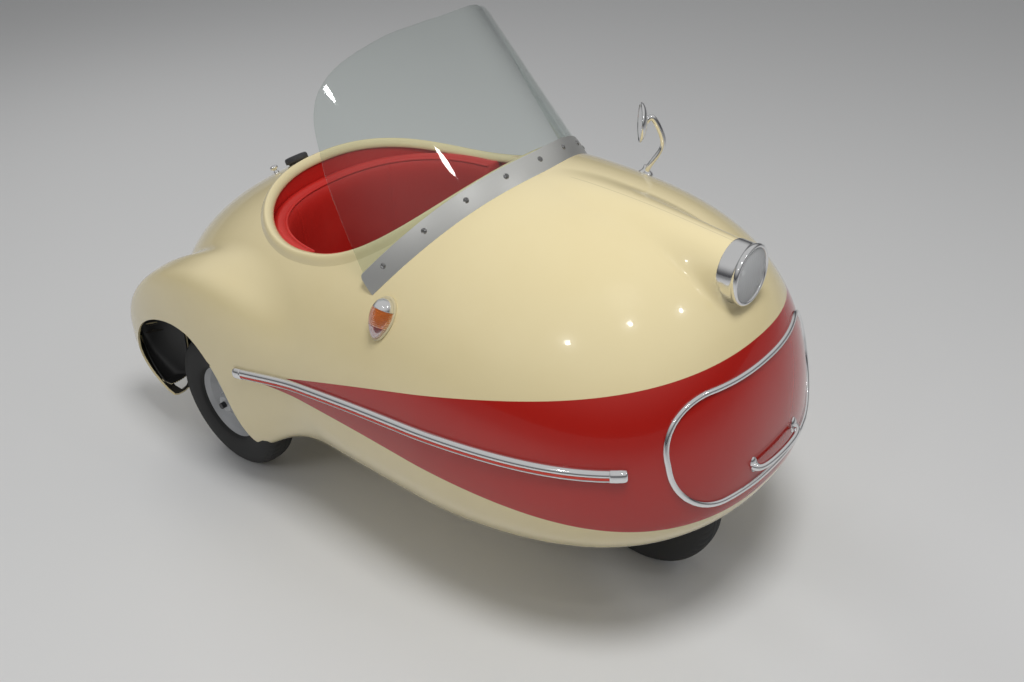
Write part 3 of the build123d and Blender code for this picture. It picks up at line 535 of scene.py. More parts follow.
class Piece:
    """Vertices in millimetres and faces of one mesh, added part by part."""

    def __init__(self):
        self.points = []
        self.faces = []
        self.marks = []
        self.total = 0

    def add(self, points, faces, mark=0):
        """Adds points and groups of faces between them; mark is their finish, or one for each group."""
        points = np.asarray(points, float).reshape(-1, 3)
        marks = mark if isinstance(mark, list) else [mark] * len(faces)
        for group, place in zip(faces, marks):
            group = np.asarray(group) + self.total
            self.faces.extend(group.tolist())
            self.marks.extend([place] * len(group))
        self.points.append(points)
        self.total += len(points)
        return self

    def tube(self, rings, flip=False, closed=False):
        """Closed skin over rings of points (rows, columns, 3): quads between rings and flat ends,
        or a closed hoop when the last ring joins the first."""
        rows, columns = rings.shape[:2]
        faces = grid_faces(rows, columns, True, flip)
        if closed:
            last = np.arange(columns) + (rows - 1) * columns
            first = np.arange(columns)
            hoop = np.stack([last, np.roll(last, -1), np.roll(first, -1), first], -1)
            return self.add(rings, [faces, hoop[:, ::-1] if flip else hoop])
        near = np.arange(columns)[None, :]
        far = near + (rows - 1) * columns
        caps = [near[:, ::-1], far] if not flip else [near, far[:, ::-1]]
        return self.add(rings, [faces] + caps)

    def build(self, name, body, slot, finishes, replaces=()):
        """Makes the mesh, shaded smooth, and puts it on its body in place of the nodes it replaces."""
        mesh = bpy.data.meshes.new(name)
        mesh.from_pydata((np.concatenate(self.points) * MM).tolist(), [], self.faces)
        mesh.update()
        mesh.polygons.foreach_set("use_smooth", np.full(len(self.faces), True))
        mesh.polygons.foreach_set("material_index", np.array(self.marks, np.int32))
        for finish in finishes:
            mesh.materials.append(finish)
        piece = bpy.data.objects.new(name, mesh)
        bpy.context.scene.collection.objects.link(piece)
        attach(piece, body)
        if replaces:
            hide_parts(*replaces)
        return piece


def edge_softener(piece, width):
    """Narrow rounded edges with level shading on the flats."""
    bevel = piece.modifiers.new("Edges", "BEVEL")
    bevel.width = width * MM
    bevel.segments = 2
    bevel.limit_method = "ANGLE"
    bevel.angle_limit = radians(35.0)
    bevel.harden_normals = True


def thicken(piece, thickness):
    """Gives a skin a wall, half of it on each side."""
    wall = piece.modifiers.new("wall", "SOLIDIFY")
    wall.thickness = thickness * MM
    wall.offset = 0


def turned(profile, centre, axis, count):
    """Rings of a profile of (radius, distance along the axis) turned about an axis through centre."""
    profile = np.asarray(profile, float)
    axis = unit(np.asarray(axis, float))
    other = np.array([0, 0, 1.0]) if abs(axis[2]) < 0.9 else np.array([0, 1.0, 0])
    first = unit(np.cross(other, axis))
    second = np.cross(axis, first)
    turn = full_turn(count)
    spoke = np.cos(turn)[:, None] * first + np.sin(turn)[:, None] * second
    radius, along = profile[:, 0, None, None], profile[:, 1, None, None]
    return np.asarray(centre, float) + radius * spoke + along * axis


def swept(path, profile, across, closed=False):
    """Rings of a flat profile (u, v) carried along a path: u along across, v along path x across."""
    path = np.asarray(path, float)
    if closed:
        heading = unit(np.roll(path, -1, 0) - np.roll(path, 1, 0))
    else:
        heading = unit(np.gradient(path, axis=0))
    across = np.broadcast_to(np.asarray(across, float), path.shape)
    across = unit(across - heading * (across * heading).sum(-1, keepdims=True))
    over = np.cross(heading, across)
    profile = np.asarray(profile, float)
    if profile.ndim == 2:
        profile = np.broadcast_to(profile, (len(path),) + profile.shape)
    return path[:, None] + profile[..., 0, None] * across[:, None] + profile[..., 1, None] * over[:, None]


def circle(radius, count):
    """Points of a circle: (r cos t, r sin t)."""
    turn = full_turn(count)
    return np.stack([radius * np.cos(turn), radius * np.sin(turn)], -1)


# Moulded body
def cut_away(points, cells, height):
    """Keeps each cell's part where height > 0. A side whose ends differ in sign is cut where
    height = 0, found by halving the side and following the ray from the hub to the body."""
    count = len(points)
    kept = height(points) > 0
    ends = np.roll(cells, -1, 1)
    crossed = kept[cells] != kept[ends]
    low, high = np.minimum(cells, ends)[crossed], np.maximum(cells, ends)[crossed]
    keys, where = np.unique(low * count + high, return_inverse=True)
    start, end = points[keys // count], points[keys % count]
    first_kept = kept[keys // count]
    near, far = np.zeros(len(keys)), np.ones(len(keys))
    for _ in range(CUT_HALVINGS):
        share = (near + far) / 2
        place = start + (end - start) * share[:, None]
        place = from_hub(unit(place - HUB))
        same = (height(place) > 0) == first_kept
        near = np.where(same, share, near)
        far = np.where(same, far, share)
    place = start + (end - start) * np.where(first_kept, near, far)[:, None]
    place = from_hub(unit(place - HUB))
    edge = np.full(cells.shape, -1)
    edge[crossed] = count + where.reshape(-1)
    corners = np.concatenate([cells, edge], 1)
    code = (kept[cells] << np.arange(4)).sum(1)
    groups = []
    for number in range(1, 16):
        inside = [bool(number >> k & 1) for k in range(4)]
        order = []
        for k in range(4):
            order += [k] if inside[k] else []
            order += [4 + k] if inside[k] != inside[(k + 1) % 4] else []
        groups.append(corners[code == number][:, order])
    return np.concatenate([points, place]), [group for group in groups if len(group)]


def shell_cells(rows, columns):
    """Points where rays from the hub meet the body, the ray turned by phi from the nose and by theta
    around the y axis, with one point at each pole, and the quads between them."""
    phi = pi * np.arange(1, rows) / rows
    phi, theta = np.meshgrid(phi, full_turn(columns), indexing="ij")
    rays = np.stack([np.sin(phi) * np.cos(theta), -np.cos(phi), np.sin(phi) * np.sin(theta)], -1)
    rays = rays.reshape(-1, 3)
    poles = np.array([[0, -1.0, 0], [0, 1.0, 0]])
    points = from_hub(np.concatenate([rays, poles]))
    cells = grid_faces(rows - 1, columns)
    column = np.arange(columns)
    nose, tail = len(rays), len(rays) + 1
    near = np.stack([np.full(columns, nose), (column + 1) % columns, column], -1)
    last = column + (rows - 2) * columns
    far = np.stack([np.full(columns, tail), last, (column + 1) % columns + (rows - 2) * columns], -1)
    return points, cells[:, ::-1], near[:, ::-1], far[:, ::-1]


def moulding(name, lower, finishes, slot, replaces, sizes):
    """One half of the moulded shell: the outer skin, the same skin moved in by the wall along its
    normals, and a rim along every edge. Corner normals are the form's own gradient."""
    points, cells, near, far = shell_cells(sizes.rows, sizes.columns)

    def height(place):
        half = below_seam(place)
        return np.minimum(clear_of_openings(place), -half if lower else half)

    points, groups = cut_away(points, cells, height)
    groups.append(near if lower else far)
    used, order = np.unique(np.concatenate([group.reshape(-1) for group in groups]), return_inverse=True)
    points = points[used]
    order = order.reshape(-1)
    faces, place = [], 0
    for group in groups:
        faces.append(order[place:place + group.size].reshape(group.shape))
        place += group.size
    count = len(points)
    normals = form_normal(points)
    starts = np.concatenate([group.reshape(-1) for group in faces])
    ends = np.concatenate([np.roll(group, -1, 1).reshape(-1) for group in faces])
    open_side = ~np.isin(starts * count + ends, ends * count + starts)
    a, b = starts[open_side], ends[open_side]
    rim = np.stack([b, a, a + count, b + count], -1)
    inner = [group[:, ::-1] + count for group in faces]
    both = np.concatenate([points, points - WALL * normals])
    marks = [0] * len(faces) + [1] * len(inner) + [0]
    body = Piece().add(both, faces + inner + [rim], marks).build(name, "car", slot, finishes, replaces)
    flat = unit(np.cross(both[rim[:, 1]] - both[rim[:, 0]], both[rim[:, 3]] - both[rim[:, 0]]))
    corner_normals = np.concatenate(
        [normals[group.reshape(-1)] for group in faces]
        + [-normals[group.reshape(-1) - count] for group in inner]
        + [np.repeat(flat, 4, 0)]
    )
    body.data.normals_split_custom_set(corner_normals.tolist())
    return body


TAIL_LOWEST, TAIL_HIGHEST, TAIL_LINING_HIGHEST = -100, 78, 75
TAIL_END_Y, TAIL_RADIUS = 841.5, 130
TAIL_ROWS, TAIL_COLUMNS = 40, 66


def pod_tail(side, highest, height):
    """Inboard skin of a pod behind its wheel, reached from the pod's axis at angles over the level
    that grow up to highest, in degrees."""
    y = np.linspace(TAIL_CUT_Y - 3, TAIL_END_Y, TAIL_ROWS)
    turn = np.radians(np.linspace(TAIL_LOWEST, highest, TAIL_COLUMNS))
    axis = np.stack([0 * y + side * POD[0], y, POD[2] + POD_FALL * (y - POD[1])], -1)
    heading = np.stack([-side * np.cos(turn), 0 * turn, np.sin(turn)], -1)
    return reach_form(axis[:, None], heading[None], 0, TAIL_RADIUS, height)


def make_pod_tails(finish):
    """The moulding's inboard skin at the two pod tails."""
    piece = Piece()
    for side in (-1, 1):
        skin = pod_tail(side, TAIL_HIGHEST, -0.9)
        piece.add(skin, [grid_faces(*skin.shape[:2], False, flip=side > 0)])
    thicken(piece.build("pod_tail_skins", "car", "cream_paint", [finish]), 2)


WELL_FOOT_Z, WELL_END_Y, WELL_END_X, WELL_HOLE_R = 140.0, 700, 332.0, 16
WELL_START_X, WELL_INSET = 340.0, -9.0


def make_wells(finish):
    """Tubs behind the wheel arches: a strip from the skin in to a flat wall with a hole round the axle.
    A ring of the wall is share times the arch plus (1 - share) times a circle about the axle. Behind
    the wheel a lining follows the inboard skin of the pod."""
    count = 72
    y, z = arch_line(count, 1.01)
    low = np.linspace(y[-1], y[0], 30)[1:-1]
    z = np.concatenate([np.maximum(z, WELL_FOOT_Z), np.full(len(low), WELL_FOOT_Z)])
    y = np.concatenate([y, low])
    behind = y > WELL_END_Y
    y = np.minimum(y, WELL_END_Y)
    away = unit(np.stack([y - REAR_Y, z - TYRE_R], -1)) * WELL_HOLE_R
    piece = Piece()
    for side in (-1, 1):
        start = np.stack([np.full(len(y), side * WELL_START_X), y, z], -1)
        skin = np.abs(reach_form(start, (side, 0, 0), 0, 300, WELL_INSET)[:, 0])
        skin[count:] = WELL_X + 1
        skin[behind] = np.minimum(skin[behind], WELL_END_X)
        rings = []
        for share in np.linspace(0, 1, 6):
            rings.append(np.stack([side * (skin + (WELL_X - skin) * share), y, z], -1))
        for share in np.linspace(1, 0, 12)[1:]:
            ring_y = REAR_Y + (y - REAR_Y) * share + away[:, 0] * (1 - share)
            ring_z = TYRE_R + (z - TYRE_R) * share + away[:, 1] * (1 - share)
            rings.append(np.stack([np.full(len(y), side * WELL_X), ring_y, ring_z], -1))
        piece.add(np.array(rings), [grid_faces(len(rings), len(y), flip=side > 0)])
        tail = pod_tail(side, TAIL_LINING_HIGHEST, -6.0)
        piece.add(tail, [grid_faces(*tail.shape[:2], False, flip=side > 0)])
    thicken(piece.build("wheel_well_tubs", "car", "well_black", [finish], ("wheel_wells",)), 3)


def make_lip(sizes, finishes):
    """Rolled lip: a cubic B-spline profile carried round the opening, its u outwards along the body
    and its v along the body's normal."""
    share = np.arange(400) / 400
    x, y = opening_line(share)
    base = on_top(x, y)
    normal = form_normal(base)
    ahead = unit(np.roll(base, -1, 0) - np.roll(base, 1, 0))
    out = unit(np.cross(ahead, normal))
    wide, high = sizes.lip_width / MM, sizes.lip_height / MM
    corners = [
        (wide + 6, -3.0), (wide * 0.92, 0.4), (wide * 0.72, high * 0.55), (wide * 0.48, high * 1.0),
        (wide * 0.26, high * 1.12), (4, high * 0.8), (0, -1), (-1, -9), (1, -15), (5, -18), (9, -14),
        (10, -8), (16, -6), (wide * 0.8, -6), (wide + 5, -7),
    ]
    rings = carried((base, out, normal), smooth_loop(corners, 56))
    Piece().tube(rings, closed=True, flip=True).build("cockpit_lip", "car", "cream_paint", finishes)


# Windscreen, its clamp strip and screws
SCREEN_HALF, SCREEN_DEPTH, SCREEN_FRONT_Y, SCREEN_LEVEL_Z = 424.0, 827.0, -294.0, 860.0
SCREEN_RAKE = radians(44.0)
RAKE = np.array([0, sin(SCREEN_RAKE), cos(SCREEN_RAKE)])
STRIP_HALF_TURN, STRIP_CORNER, MM_PER_TURN = 0.955, 9.0, 530.0
SCREEN_HALF_TURN, EDGE_CREST = 0.9463, 0.8
FOOT_START, FOOT_RANGE = -320.0, 460
SCREEN_OUTLINE = (
    (0, 1147.0), (49, 1146), (117, 1138), (170, 1121), (210, 1101), (241, 1078), (268, 1047), (286, 1014),
    (297, 984), (306, 950), (321, 884), (334, 797), (344, 716),
)
SCREW_STEP, SCREW_R, SCREW_HIGH, SCREW_GROOVE = radians(12.2), 6.2, 3.0, 1.9


def raked_place(turn, reach, out):
    """Point of the raked sheet and the sheet's outward normal: the level ellipse point
    (a sin t, c - b cos t) moved by reach along the rake and by out along the normal."""
    turn, reach, out = np.broadcast_arrays(turn, reach, out)
    level_y = SCREEN_FRONT_Y + SCREEN_DEPTH * (1 - np.cos(turn))
    level = np.stack([SCREEN_HALF * np.sin(turn), level_y, np.full(turn.shape, SCREEN_LEVEL_Z)], -1)
    normal = np.stack([np.sin(turn) / SCREEN_HALF, -np.cos(turn) / SCREEN_DEPTH, 0 * turn], -1)
    normal = unit(normal - RAKE * (normal * RAKE).sum(-1, keepdims=True))
    return level + reach[..., None] * RAKE + out[..., None] * normal, normal


def foot_reach(turn, out=0.0):
    """Reach along the rake at which the sheet, moved by out, meets the body."""
    start, _ = raked_place(turn, FOOT_START, out)
    foot = reach_form(start, RAKE, 0, FOOT_RANGE)
    return ((foot - start) * RAKE).sum(-1) + FOOT_START


def make_strip(sizes, finishes):
    """Clamp strip: a flat crowned profile of even width that stands on the body in front of the sheet.
    Near each end its upper edge is w - c + sqrt(c^2 - (c - d)^2), a corner of radius c at distance d."""
    width, corner = sizes.strip_width / MM, STRIP_CORNER
    share = np.linspace(-1, 1, 170)
    turn = STRIP_HALF_TURN * (0.5 * share + 0.5 * np.sin(share * pi / 2))
    from_end = (STRIP_HALF_TURN - np.abs(turn)) * MM_PER_TURN
    inset = np.clip(corner - from_end, 0, corner)
    top = width - corner + np.sqrt(corner**2 - inset**2)
    thick = sizes.strip_thickness / MM
    across = np.linspace(-1, 1, 13)
    front = np.stack([0.5 + 0.5 * across, thick + 0.9 * (1 - across**2)], -1)
    profile = np.concatenate([front, [(1.0, 0.3), (0.5, 0.3), (0.0, 0.3)]])
    reach = foot_reach(turn, thick / 2)[:, None] - 2.5 + profile[:, 0] * (top[:, None] + 2.5)
    rings, _ = raked_place(turn[:, None], reach, profile[:, 1])
    strip = Piece().tube(rings).build("clamp_strip", "car", "brushed", finishes[:1], ("windscreen_strip",))
    edge_softener(strip, 0.7)
    make_screws(SCREW_STEP * np.arange(-4, 5), width / 2, thick + 0.8, finishes[1])


def make_screws(turn, above_foot, out, finish):
    """Domed slotted heads: height h (1 - (r/R)^2)^0.6 over a disc, less a groove across it."""
    ring = np.sin(np.linspace(0, pi / 2, 12))[1:, None] * SCREW_R
    turn_of_head = full_turn(32)
    x, y = ring * np.cos(turn_of_head), ring * np.sin(turn_of_head)
    dome = SCREW_HIGH * np.clip(1 - (ring / SCREW_R) ** 2, 0, 1) ** 0.6 + 0 * x
    dome = dome - SCREW_GROOVE * np.clip(1.5 - np.abs(y), 0, 0.6) / 0.6 * (dome > 0.9)
    places, normals = raked_place(turn, foot_reach(turn) + above_foot, out)
    piece = Piece()
    for number, (place, normal) in enumerate(zip(places, normals)):
        side = unit(np.cross(normal, (cos(number * 2.1), sin(number * 2.1), 0.2)))
        other = np.cross(normal, side)
        top = place + x[..., None] * side + y[..., None] * other + dome[..., None] * normal
        foot = place + x[-1:, :, None] * side + y[-1:, :, None] * other - 1.5 * normal
        piece.tube(np.concatenate([top, foot]), flip=True)
    piece.build("strip_screw_heads", "car", "chrome", [finish], ("strip_screws",))


def screen_top(x):
    """Height of the screen's upper edge over x, a Catmull-Rom curve through its outline."""
    fine = spline(SCREEN_OUTLINE, 500)
    return np.interp(np.abs(x), fine[:, 0], fine[:, 1])


def make_screen(sizes, finishes):
    """Clear sheet: the ellipse (a sin t, c - b cos t) pushed along the rake, from the strip up to
    the outline. Thickness goes inwards along the sheet's normal and the edge is rounded."""
    share = np.linspace(-1, 1, 260)
    turn = SCREEN_HALF_TURN * np.sin(share * pi / 2) * (1 - 0.12 * (1 - share**2))
    foot = foot_reach(turn) + 0.5
    top = (screen_top(SCREEN_HALF * np.sin(turn)) - SCREEN_LEVEL_Z) / cos(SCREEN_RAKE)
    top = np.maximum(top, foot + 3)
    reach = foot + (top - foot) * np.linspace(0, 1, 60)[:, None]
    thick = sizes.screen_thickness / MM
    outer, _ = raked_place(turn, reach, 0.0)
    inner, _ = raked_place(turn, reach, -thick)
    crest = (outer[-1:] + inner[-1:]) / 2 + EDGE_CREST * RAKE
    rings = np.concatenate([outer, crest, inner[::-1]])
    rows, columns = rings.shape[:2]
    faces = grid_faces(rows, columns, False)
    bottom = np.stack([np.arange(columns - 1), np.arange(columns - 1) + (rows - 1) * columns], -1)
    bottom = np.concatenate([bottom, bottom[:, ::-1] + 1], 1)
    sides = []
    half = rows // 2
    for column in (0, columns - 1):
        row = np.arange(half)
        back = rows - 1 - row
        strip = np.stack([row[:-1], row[1:], back[1:], back[:-1]], -1) * columns + column
        sides.append(strip if column == 0 else strip[:, ::-1])
        tip = np.array([[row[-1], half, back[-1]]]) * columns + column
        sides.append(tip if column == 0 else tip[:, ::-1])
    piece = Piece().add(rings, [faces, bottom[:, ::-1]] + sides)
    return piece.build("screen_sheet", "car", "acrylic", finishes, ("windscreen",))


# Trim on the flanks and the nose
MOULDING_FRONT_Y, MOULDING_REAR_Y, MOULDING_CAP = -708.0, 286.0, 26.0
MOULDING_SECTION = (
    (-13.0, -1.2), (-13.0, 3.0), (-11.6, 6.6), (-8.4, 9.4), (-6.6, 10.2), (-6.2, 8.6), (0.0, 9.4),
    (0.4, 11.4), (3.6, 11.9), (7.4, 10.8), (10.6, 8.4), (12.6, 4.6), (13.0, 1.0), (13.0, -1.2),
)
INSERT_SECTION = (
    (-6.4, 7.0), (-6.4, 9.6), (-5.0, 10.6), (-3.1, 11.0), (-1.2, 10.9), (0.2, 10.2), (0.2, 7.0),
)
CAP_SECTION = (
    (-14.2, -1.4), (-14.4, 5.0), (-8.5, 12.6), (0, 13.4), (8.5, 12.6), (14.4, 5.0), (14.2, -1.4), (0, -1.8),
)
SECTION_HEIGHT, SECTION_DEPTH = 26.0, 12.0


def flank_frame(side, y):
    """Points of the seam on a flank with the directions up and out of the body there."""
    base = on_side(side, y, seam_z(y))
    out = form_normal(base)
    ahead = unit(np.gradient(base, axis=0))
    up = unit(np.cross(ahead, out))
    up = up * np.sign(up[:, 2:])
    return base, up, out


def carried(frame, section, wide=1.0, high=1.0):
    """Rings of a flat section (u, v): u times wide runs up the flank, v times high out of it."""
    base, up, out = frame
    section = np.asarray(section, float)
    u = section[:, 0] * np.reshape(wide, (-1, 1))
    v = section[:, 1] * np.reshape(high, (-1, 1))
    return base[:, None] + u[..., None] * up[:, None] + v[..., None] * out[:, None]


def make_moulding(side, name, sizes, finishes):
    """Side moulding along the seam with an insert in its groove and a cap on each end; a cap's
    section shrinks as a quarter ellipse towards its end."""
    scale = (sizes.moulding_height / MM / SECTION_HEIGHT, sizes.moulding_proud / MM / SECTION_DEPTH)
    section, insert = np.array(MOULDING_SECTION) * scale, np.array(INSERT_SECTION) * scale
    y = np.linspace(MOULDING_FRONT_Y + 10, MOULDING_REAR_Y - 10, 170)
    run = flank_frame(side, y)
    body = Piece().tube(carried(run, section), flip=side > 0)
    smooth_cap = smooth_loop(CAP_SECTION, 40) * scale
    for end, into in ((MOULDING_FRONT_Y, 1), (MOULDING_REAR_Y, -1)):
        share = np.linspace(0, 1, 22)
        y = end + into * MOULDING_CAP * (1 - np.cos(share * pi / 2))
        shrink = np.sqrt(np.clip(1 - (1 - np.clip(share / 0.62, 0, 1)) ** 2.4, 0.0, 1))
        rings = carried(flank_frame(side, y), smooth_cap, 0.25 + 0.75 * shrink, 0.12 + 0.88 * shrink)
        body.tube(rings, flip=(side > 0) == (into > 0))
    body.build(f"side_moulding_{name}", "car", "chrome", finishes[:1], (f"side_trim_{name}",))
    strip = Piece().tube(carried(run, insert), flip=side > 0)
    strip.build(f"moulding_insert_{name}", "car", "insert_red", finishes[1:], (f"trim_insert_{name}",))


RING_HALF, RING_LOW_Z, RING_TOP_Z, RING_CORNER = 257.0, 397.0, 625.0, 104.0


def ring_path(count):
    """Rounded rectangle: four straight sides and four quarter circles, evenly spaced."""
    half, high = RING_HALF - RING_CORNER, (RING_TOP_Z - RING_LOW_Z) / 2 - RING_CORNER
    middle = (RING_TOP_Z + RING_LOW_Z) / 2
    turn = np.linspace(0, pi / 2, 24)
    loop = []
    for quarter, (x, z) in enumerate(((half, high), (-half, high), (-half, -high), (half, -high))):
        angle = turn + quarter * pi / 2
        corner = x + RING_CORNER * np.cos(angle), middle + z + RING_CORNER * np.sin(angle)
        loop.append(np.stack(corner, -1))
    loop = np.concatenate(loop)
    loop = np.concatenate([loop, loop[:1]])
    length = np.concatenate([[0], np.cumsum(np.linalg.norm(np.diff(loop, axis=0), axis=1))])
    place = np.arange(count) / count * length[-1]
    return np.interp(place, length, loop[:, 0]), np.interp(place, length, loop[:, 1])


def make_nose_ring(sizes, finish):
    """Half round bead along the rounded rectangle, laid on the nose."""
    x, z = ring_path(260)
    base = on_nose(x, z)
    out = form_normal(base)
    ahead = unit(np.roll(base, -1, 0) - np.roll(base, 1, 0))
    across = unit(np.cross(ahead, out))
    half = sizes.ring_bead / MM / 2
    turn = np.linspace(0, pi, 15)
    section = np.stack([half * np.cos(turn), 0.9 * half * np.sin(turn) + 1.0], -1)
    section = np.concatenate([section, [(-half, -1.5), (half, -1.5)]])
    ring = Piece().tube(carried((base, across, out), section), closed=True, flip=True)
    ring.build("nose_ring_bead", "car", "chrome", [finish], ("nose_ring",))


def rod(path, radii, across, count=20):
    """Round rod along a path with a radius at each point."""
    profile = np.reshape(radii, (-1, 1, 1)) * circle(1.0, count)
    return swept(path, profile, across)


def domed_pad(piece, centre, out, up, half_wide, half_high, thick):
    """Low dome over an ellipse: height thick (1 - r^2)^(1/2), with a skirt sunk under its rim."""
    out = unit(np.asarray(out, float))
    up = unit(up - out * np.dot(up, out))
    side = np.cross(up, out)
    share = np.sin(np.linspace(0.06, pi / 2, 14))
    turn = full_turn(36)
    u = np.outer(share, half_wide * np.cos(turn))
    v = np.outer(share, half_high * np.sin(turn))
    height = thick * np.sqrt(1 - share**2)[:, None] + 0 * u
    rings = centre + u[..., None] * side + v[..., None] * up + height[..., None] * out
    foot = rings[-1:] - 2 * out
    return piece.tube(np.concatenate([rings, foot]), flip=True)


HANDLE_HALF, HANDLE_Z, HANDLE_TIP_Y = 78.0, 437.0, -864.5


def make_nose_handle(sizes, finish):
    """Bow handle: x = a sin t with its reach growing as cos(t)^0.42, on two domed feet."""
    radius = sizes.handle_r / MM
    share = np.linspace(-1, 1, 61)
    x = HANDLE_HALF * np.sin(share * pi / 2)
    foot_y = on_nose([HANDLE_HALF], [HANDLE_Z])[0, 1]
    reach = (foot_y - HANDLE_TIP_Y - radius) * np.cos(share * pi / 2) ** 0.42
    reach[0] = reach[-1] = 0
    path = np.stack([x, foot_y + 3 - reach, HANDLE_Z - 4 * (1 - share**2)], -1)
    radii = radius * (0.95 + 0.75 * np.abs(share) ** 9)
    piece = Piece().tube(rod(path, radii, (0, 0, 1)))
    for side in (-1, 1):
        base = on_nose([side * HANDLE_HALF], [HANDLE_Z + 3])[0]
        normal = form_normal(base)
        domed_pad(piece, base, normal, np.array([0.12 * side, 0, 1.0]), 9.5, 18, 6.5)
    piece.build("nose_bow_handle", "car", "chrome", [finish], ("nose_handle",))


# Lamps and mirror
BARREL_SECTION = (
    (52.0, 1.0), (53.5, -2.5), (57.2, -5.8), (59.3, -5.2), (59.2, 0.0), (58.8, 4.0), (58.4, 12.0),
    (57.6, 20.0), (57.2, 25.0), (57.8, 27.5), (59.2, 29.5), (60.0, 32.5), (59.6, 36.0), (57.8, 38.4),
    (55.0, 39.0), (52.8, 38.0), (51.8, 35.5), (51.6, 31.0), (51.0, 20.0), (50.6, 6.0),
)
BULB_SECTION = ((0.2, 24), (4, 23), (6.5, 20), (7.5, 15), (6.5, 9), (5.5, 4), (5.5, -6), (0.2, -6))
LENS_R, LENS_BULGE, LENS_FLUTES, FLUTE_HIGH = 52.0, 7.5, 15.0, 0.24
LENS_OUT, LENS_IN = 36.5, 33.5


def make_headlight(finishes):
    """Barrel turned from a closed profile; lens a spherical cap with raised upright flutes."""
    chrome, glass, mirror = finishes
    centre = (0, FAIRING_FRONT_Y, LAMP_Z)
    barrel = Piece().tube(turned(smooth_loop(BARREL_SECTION, 96), centre, (0, -1, 0), 96), closed=True)
    barrel.build("headlight_bezel", "car", "chrome", [chrome], ("headlight_barrel",))
    share = np.linspace(0.004, 1, 44)
    turn = full_turn(180)
    x, z = LENS_R * np.outer(share, np.cos(turn)), LENS_R * np.outer(share, np.sin(turn))
    cap = LENS_BULGE * (1 - share**2)[:, None]
    flute = FLUTE_HIGH * np.abs(np.sin(x / LENS_R * pi * LENS_FLUTES / 2))
    flute = flute * np.clip((1 - share) * 12, 0, 1)[:, None]
    front = np.stack([x, FAIRING_FRONT_Y - LENS_OUT - cap + 0 * x, LAMP_Z + z], -1)
    back = np.stack([x, FAIRING_FRONT_Y - LENS_IN - cap * 0.92 + 0 * x, LAMP_Z + z], -1)
    front[..., 1] -= flute
    lens = Piece().tube(np.concatenate([front, back[::-1]]), flip=True)
    lens.build("headlight_glass", "car", "lamp_glass", [glass], ("headlight_lens",))
    bulb = Piece().tube(turned(BULB_SECTION, centre, (0, -1, 0), 32))
    bulb.build("headlight_bulb", "car", "mirror_glass", [mirror])


LAMP_Y, LAMP_SIDE_Z, LAMP_LENGTH, LAMP_WIDE, LAMP_DEEP = -157.0, 660.0, 44.0, 25.0, 29.0
LAMP_UP = (0, -0.10, 1.0)
LAMP_PARTS = (
    ("side_lamp_reds_glass", "side_lamp_reds", "red_lens", -0.9995, -0.34, 0.0, 1.0),
    ("side_lamp_ambers_glass", "side_lamp_ambers", "amber", -0.34, 0.5, 0.012, 1.0),
    ("side_lamp_hoods", "side_lamp_caps", "chrome", 0.5, 0.9995, 0.0, 1.035),
)


def lamp_frame(side):
    """A side lamp's place on the body with the directions out, up and across there."""
    base = on_side(side, [LAMP_Y], [LAMP_SIDE_Z])[0]
    out = form_normal(base)
    up = unit(np.array(LAMP_UP) - out * np.dot(LAMP_UP, out))
    return base, out, up, np.cross(up, out)


def make_side_lamps(finishes):
    """Drops lying on the body: along u from -1 to 1 the half width is w sqrt(1 - u^2) (1 + 0.2 u)
    and the height h sqrt(1 - u^2) (1 + 0.28 u), cut across into cap, amber and red glass. The amber
    part has fine rings round it."""
    for (name, node, slot, low, high, ribs, grow), finish in zip(LAMP_PARTS, finishes):
        piece = Piece()
        for side in (-1, 1):
            base, out, up, across = lamp_frame(side)
            ends = np.arcsin(np.array([low, high]))
            u = np.sin(ends[0] + (ends[1] - ends[0]) * np.linspace(0, 1, 40))
            turn = np.linspace(0, pi, 33)
            round_off = np.sqrt(1 - u**2)
            wide = LAMP_WIDE * round_off * (1 + 0.2 * u)
            deep = LAMP_DEEP * round_off * (1 + 0.28 * u)
            ripple = 1 + ribs * np.cos(u * 2 * pi * 11)
            section_u = np.outer(wide * ripple * grow, [*np.cos(turn), -1.0, 1.0])
            section_v = 3 + np.outer(deep * ripple * grow, np.sin(turn))
            section_v = np.concatenate([section_v, np.zeros((len(u), 2))], 1)
            spine = base + (LAMP_LENGTH * u)[:, None, None] * up
            piece.tube(spine + section_u[..., None] * across + section_v[..., None] * out)
        piece.build(name, "car", slot, [finish], (node,))


def make_lamp_pads(finish):
    """Soft pads between lamp and body, the drop's outline grown by 4 mm and rounded off above."""
    piece = Piece()
    for side in (-1, 1):
        base, out, up, across = lamp_frame(side)
        u = np.sin(np.linspace(-pi / 2 + 0.02, pi / 2 - 0.02, 48))
        wide = (LAMP_WIDE + 4) * np.sqrt(1 - u**2) * (1 + 0.16 * u)
        left = np.stack([-wide, (LAMP_LENGTH + 4) * u], -1)
        right = np.stack([wide, (LAMP_LENGTH + 4) * u], -1)[::-1]
        loop = np.concatenate([left, right])
        levels = ((1.0, -8.0), (1.0, 2.6), (0.985, 3.6), (0.95, 4.2), (0.02, 4.4))
        flat = loop[:, 0, None] * across + loop[:, 1, None] * up
        piece.tube(np.stack([base + flat * grow + height * out for grow, height in levels]), flip=True)
    piece.build("side_lamp_gaskets", "car", "pad_cream", [finish], ("side_lamp_pads",))


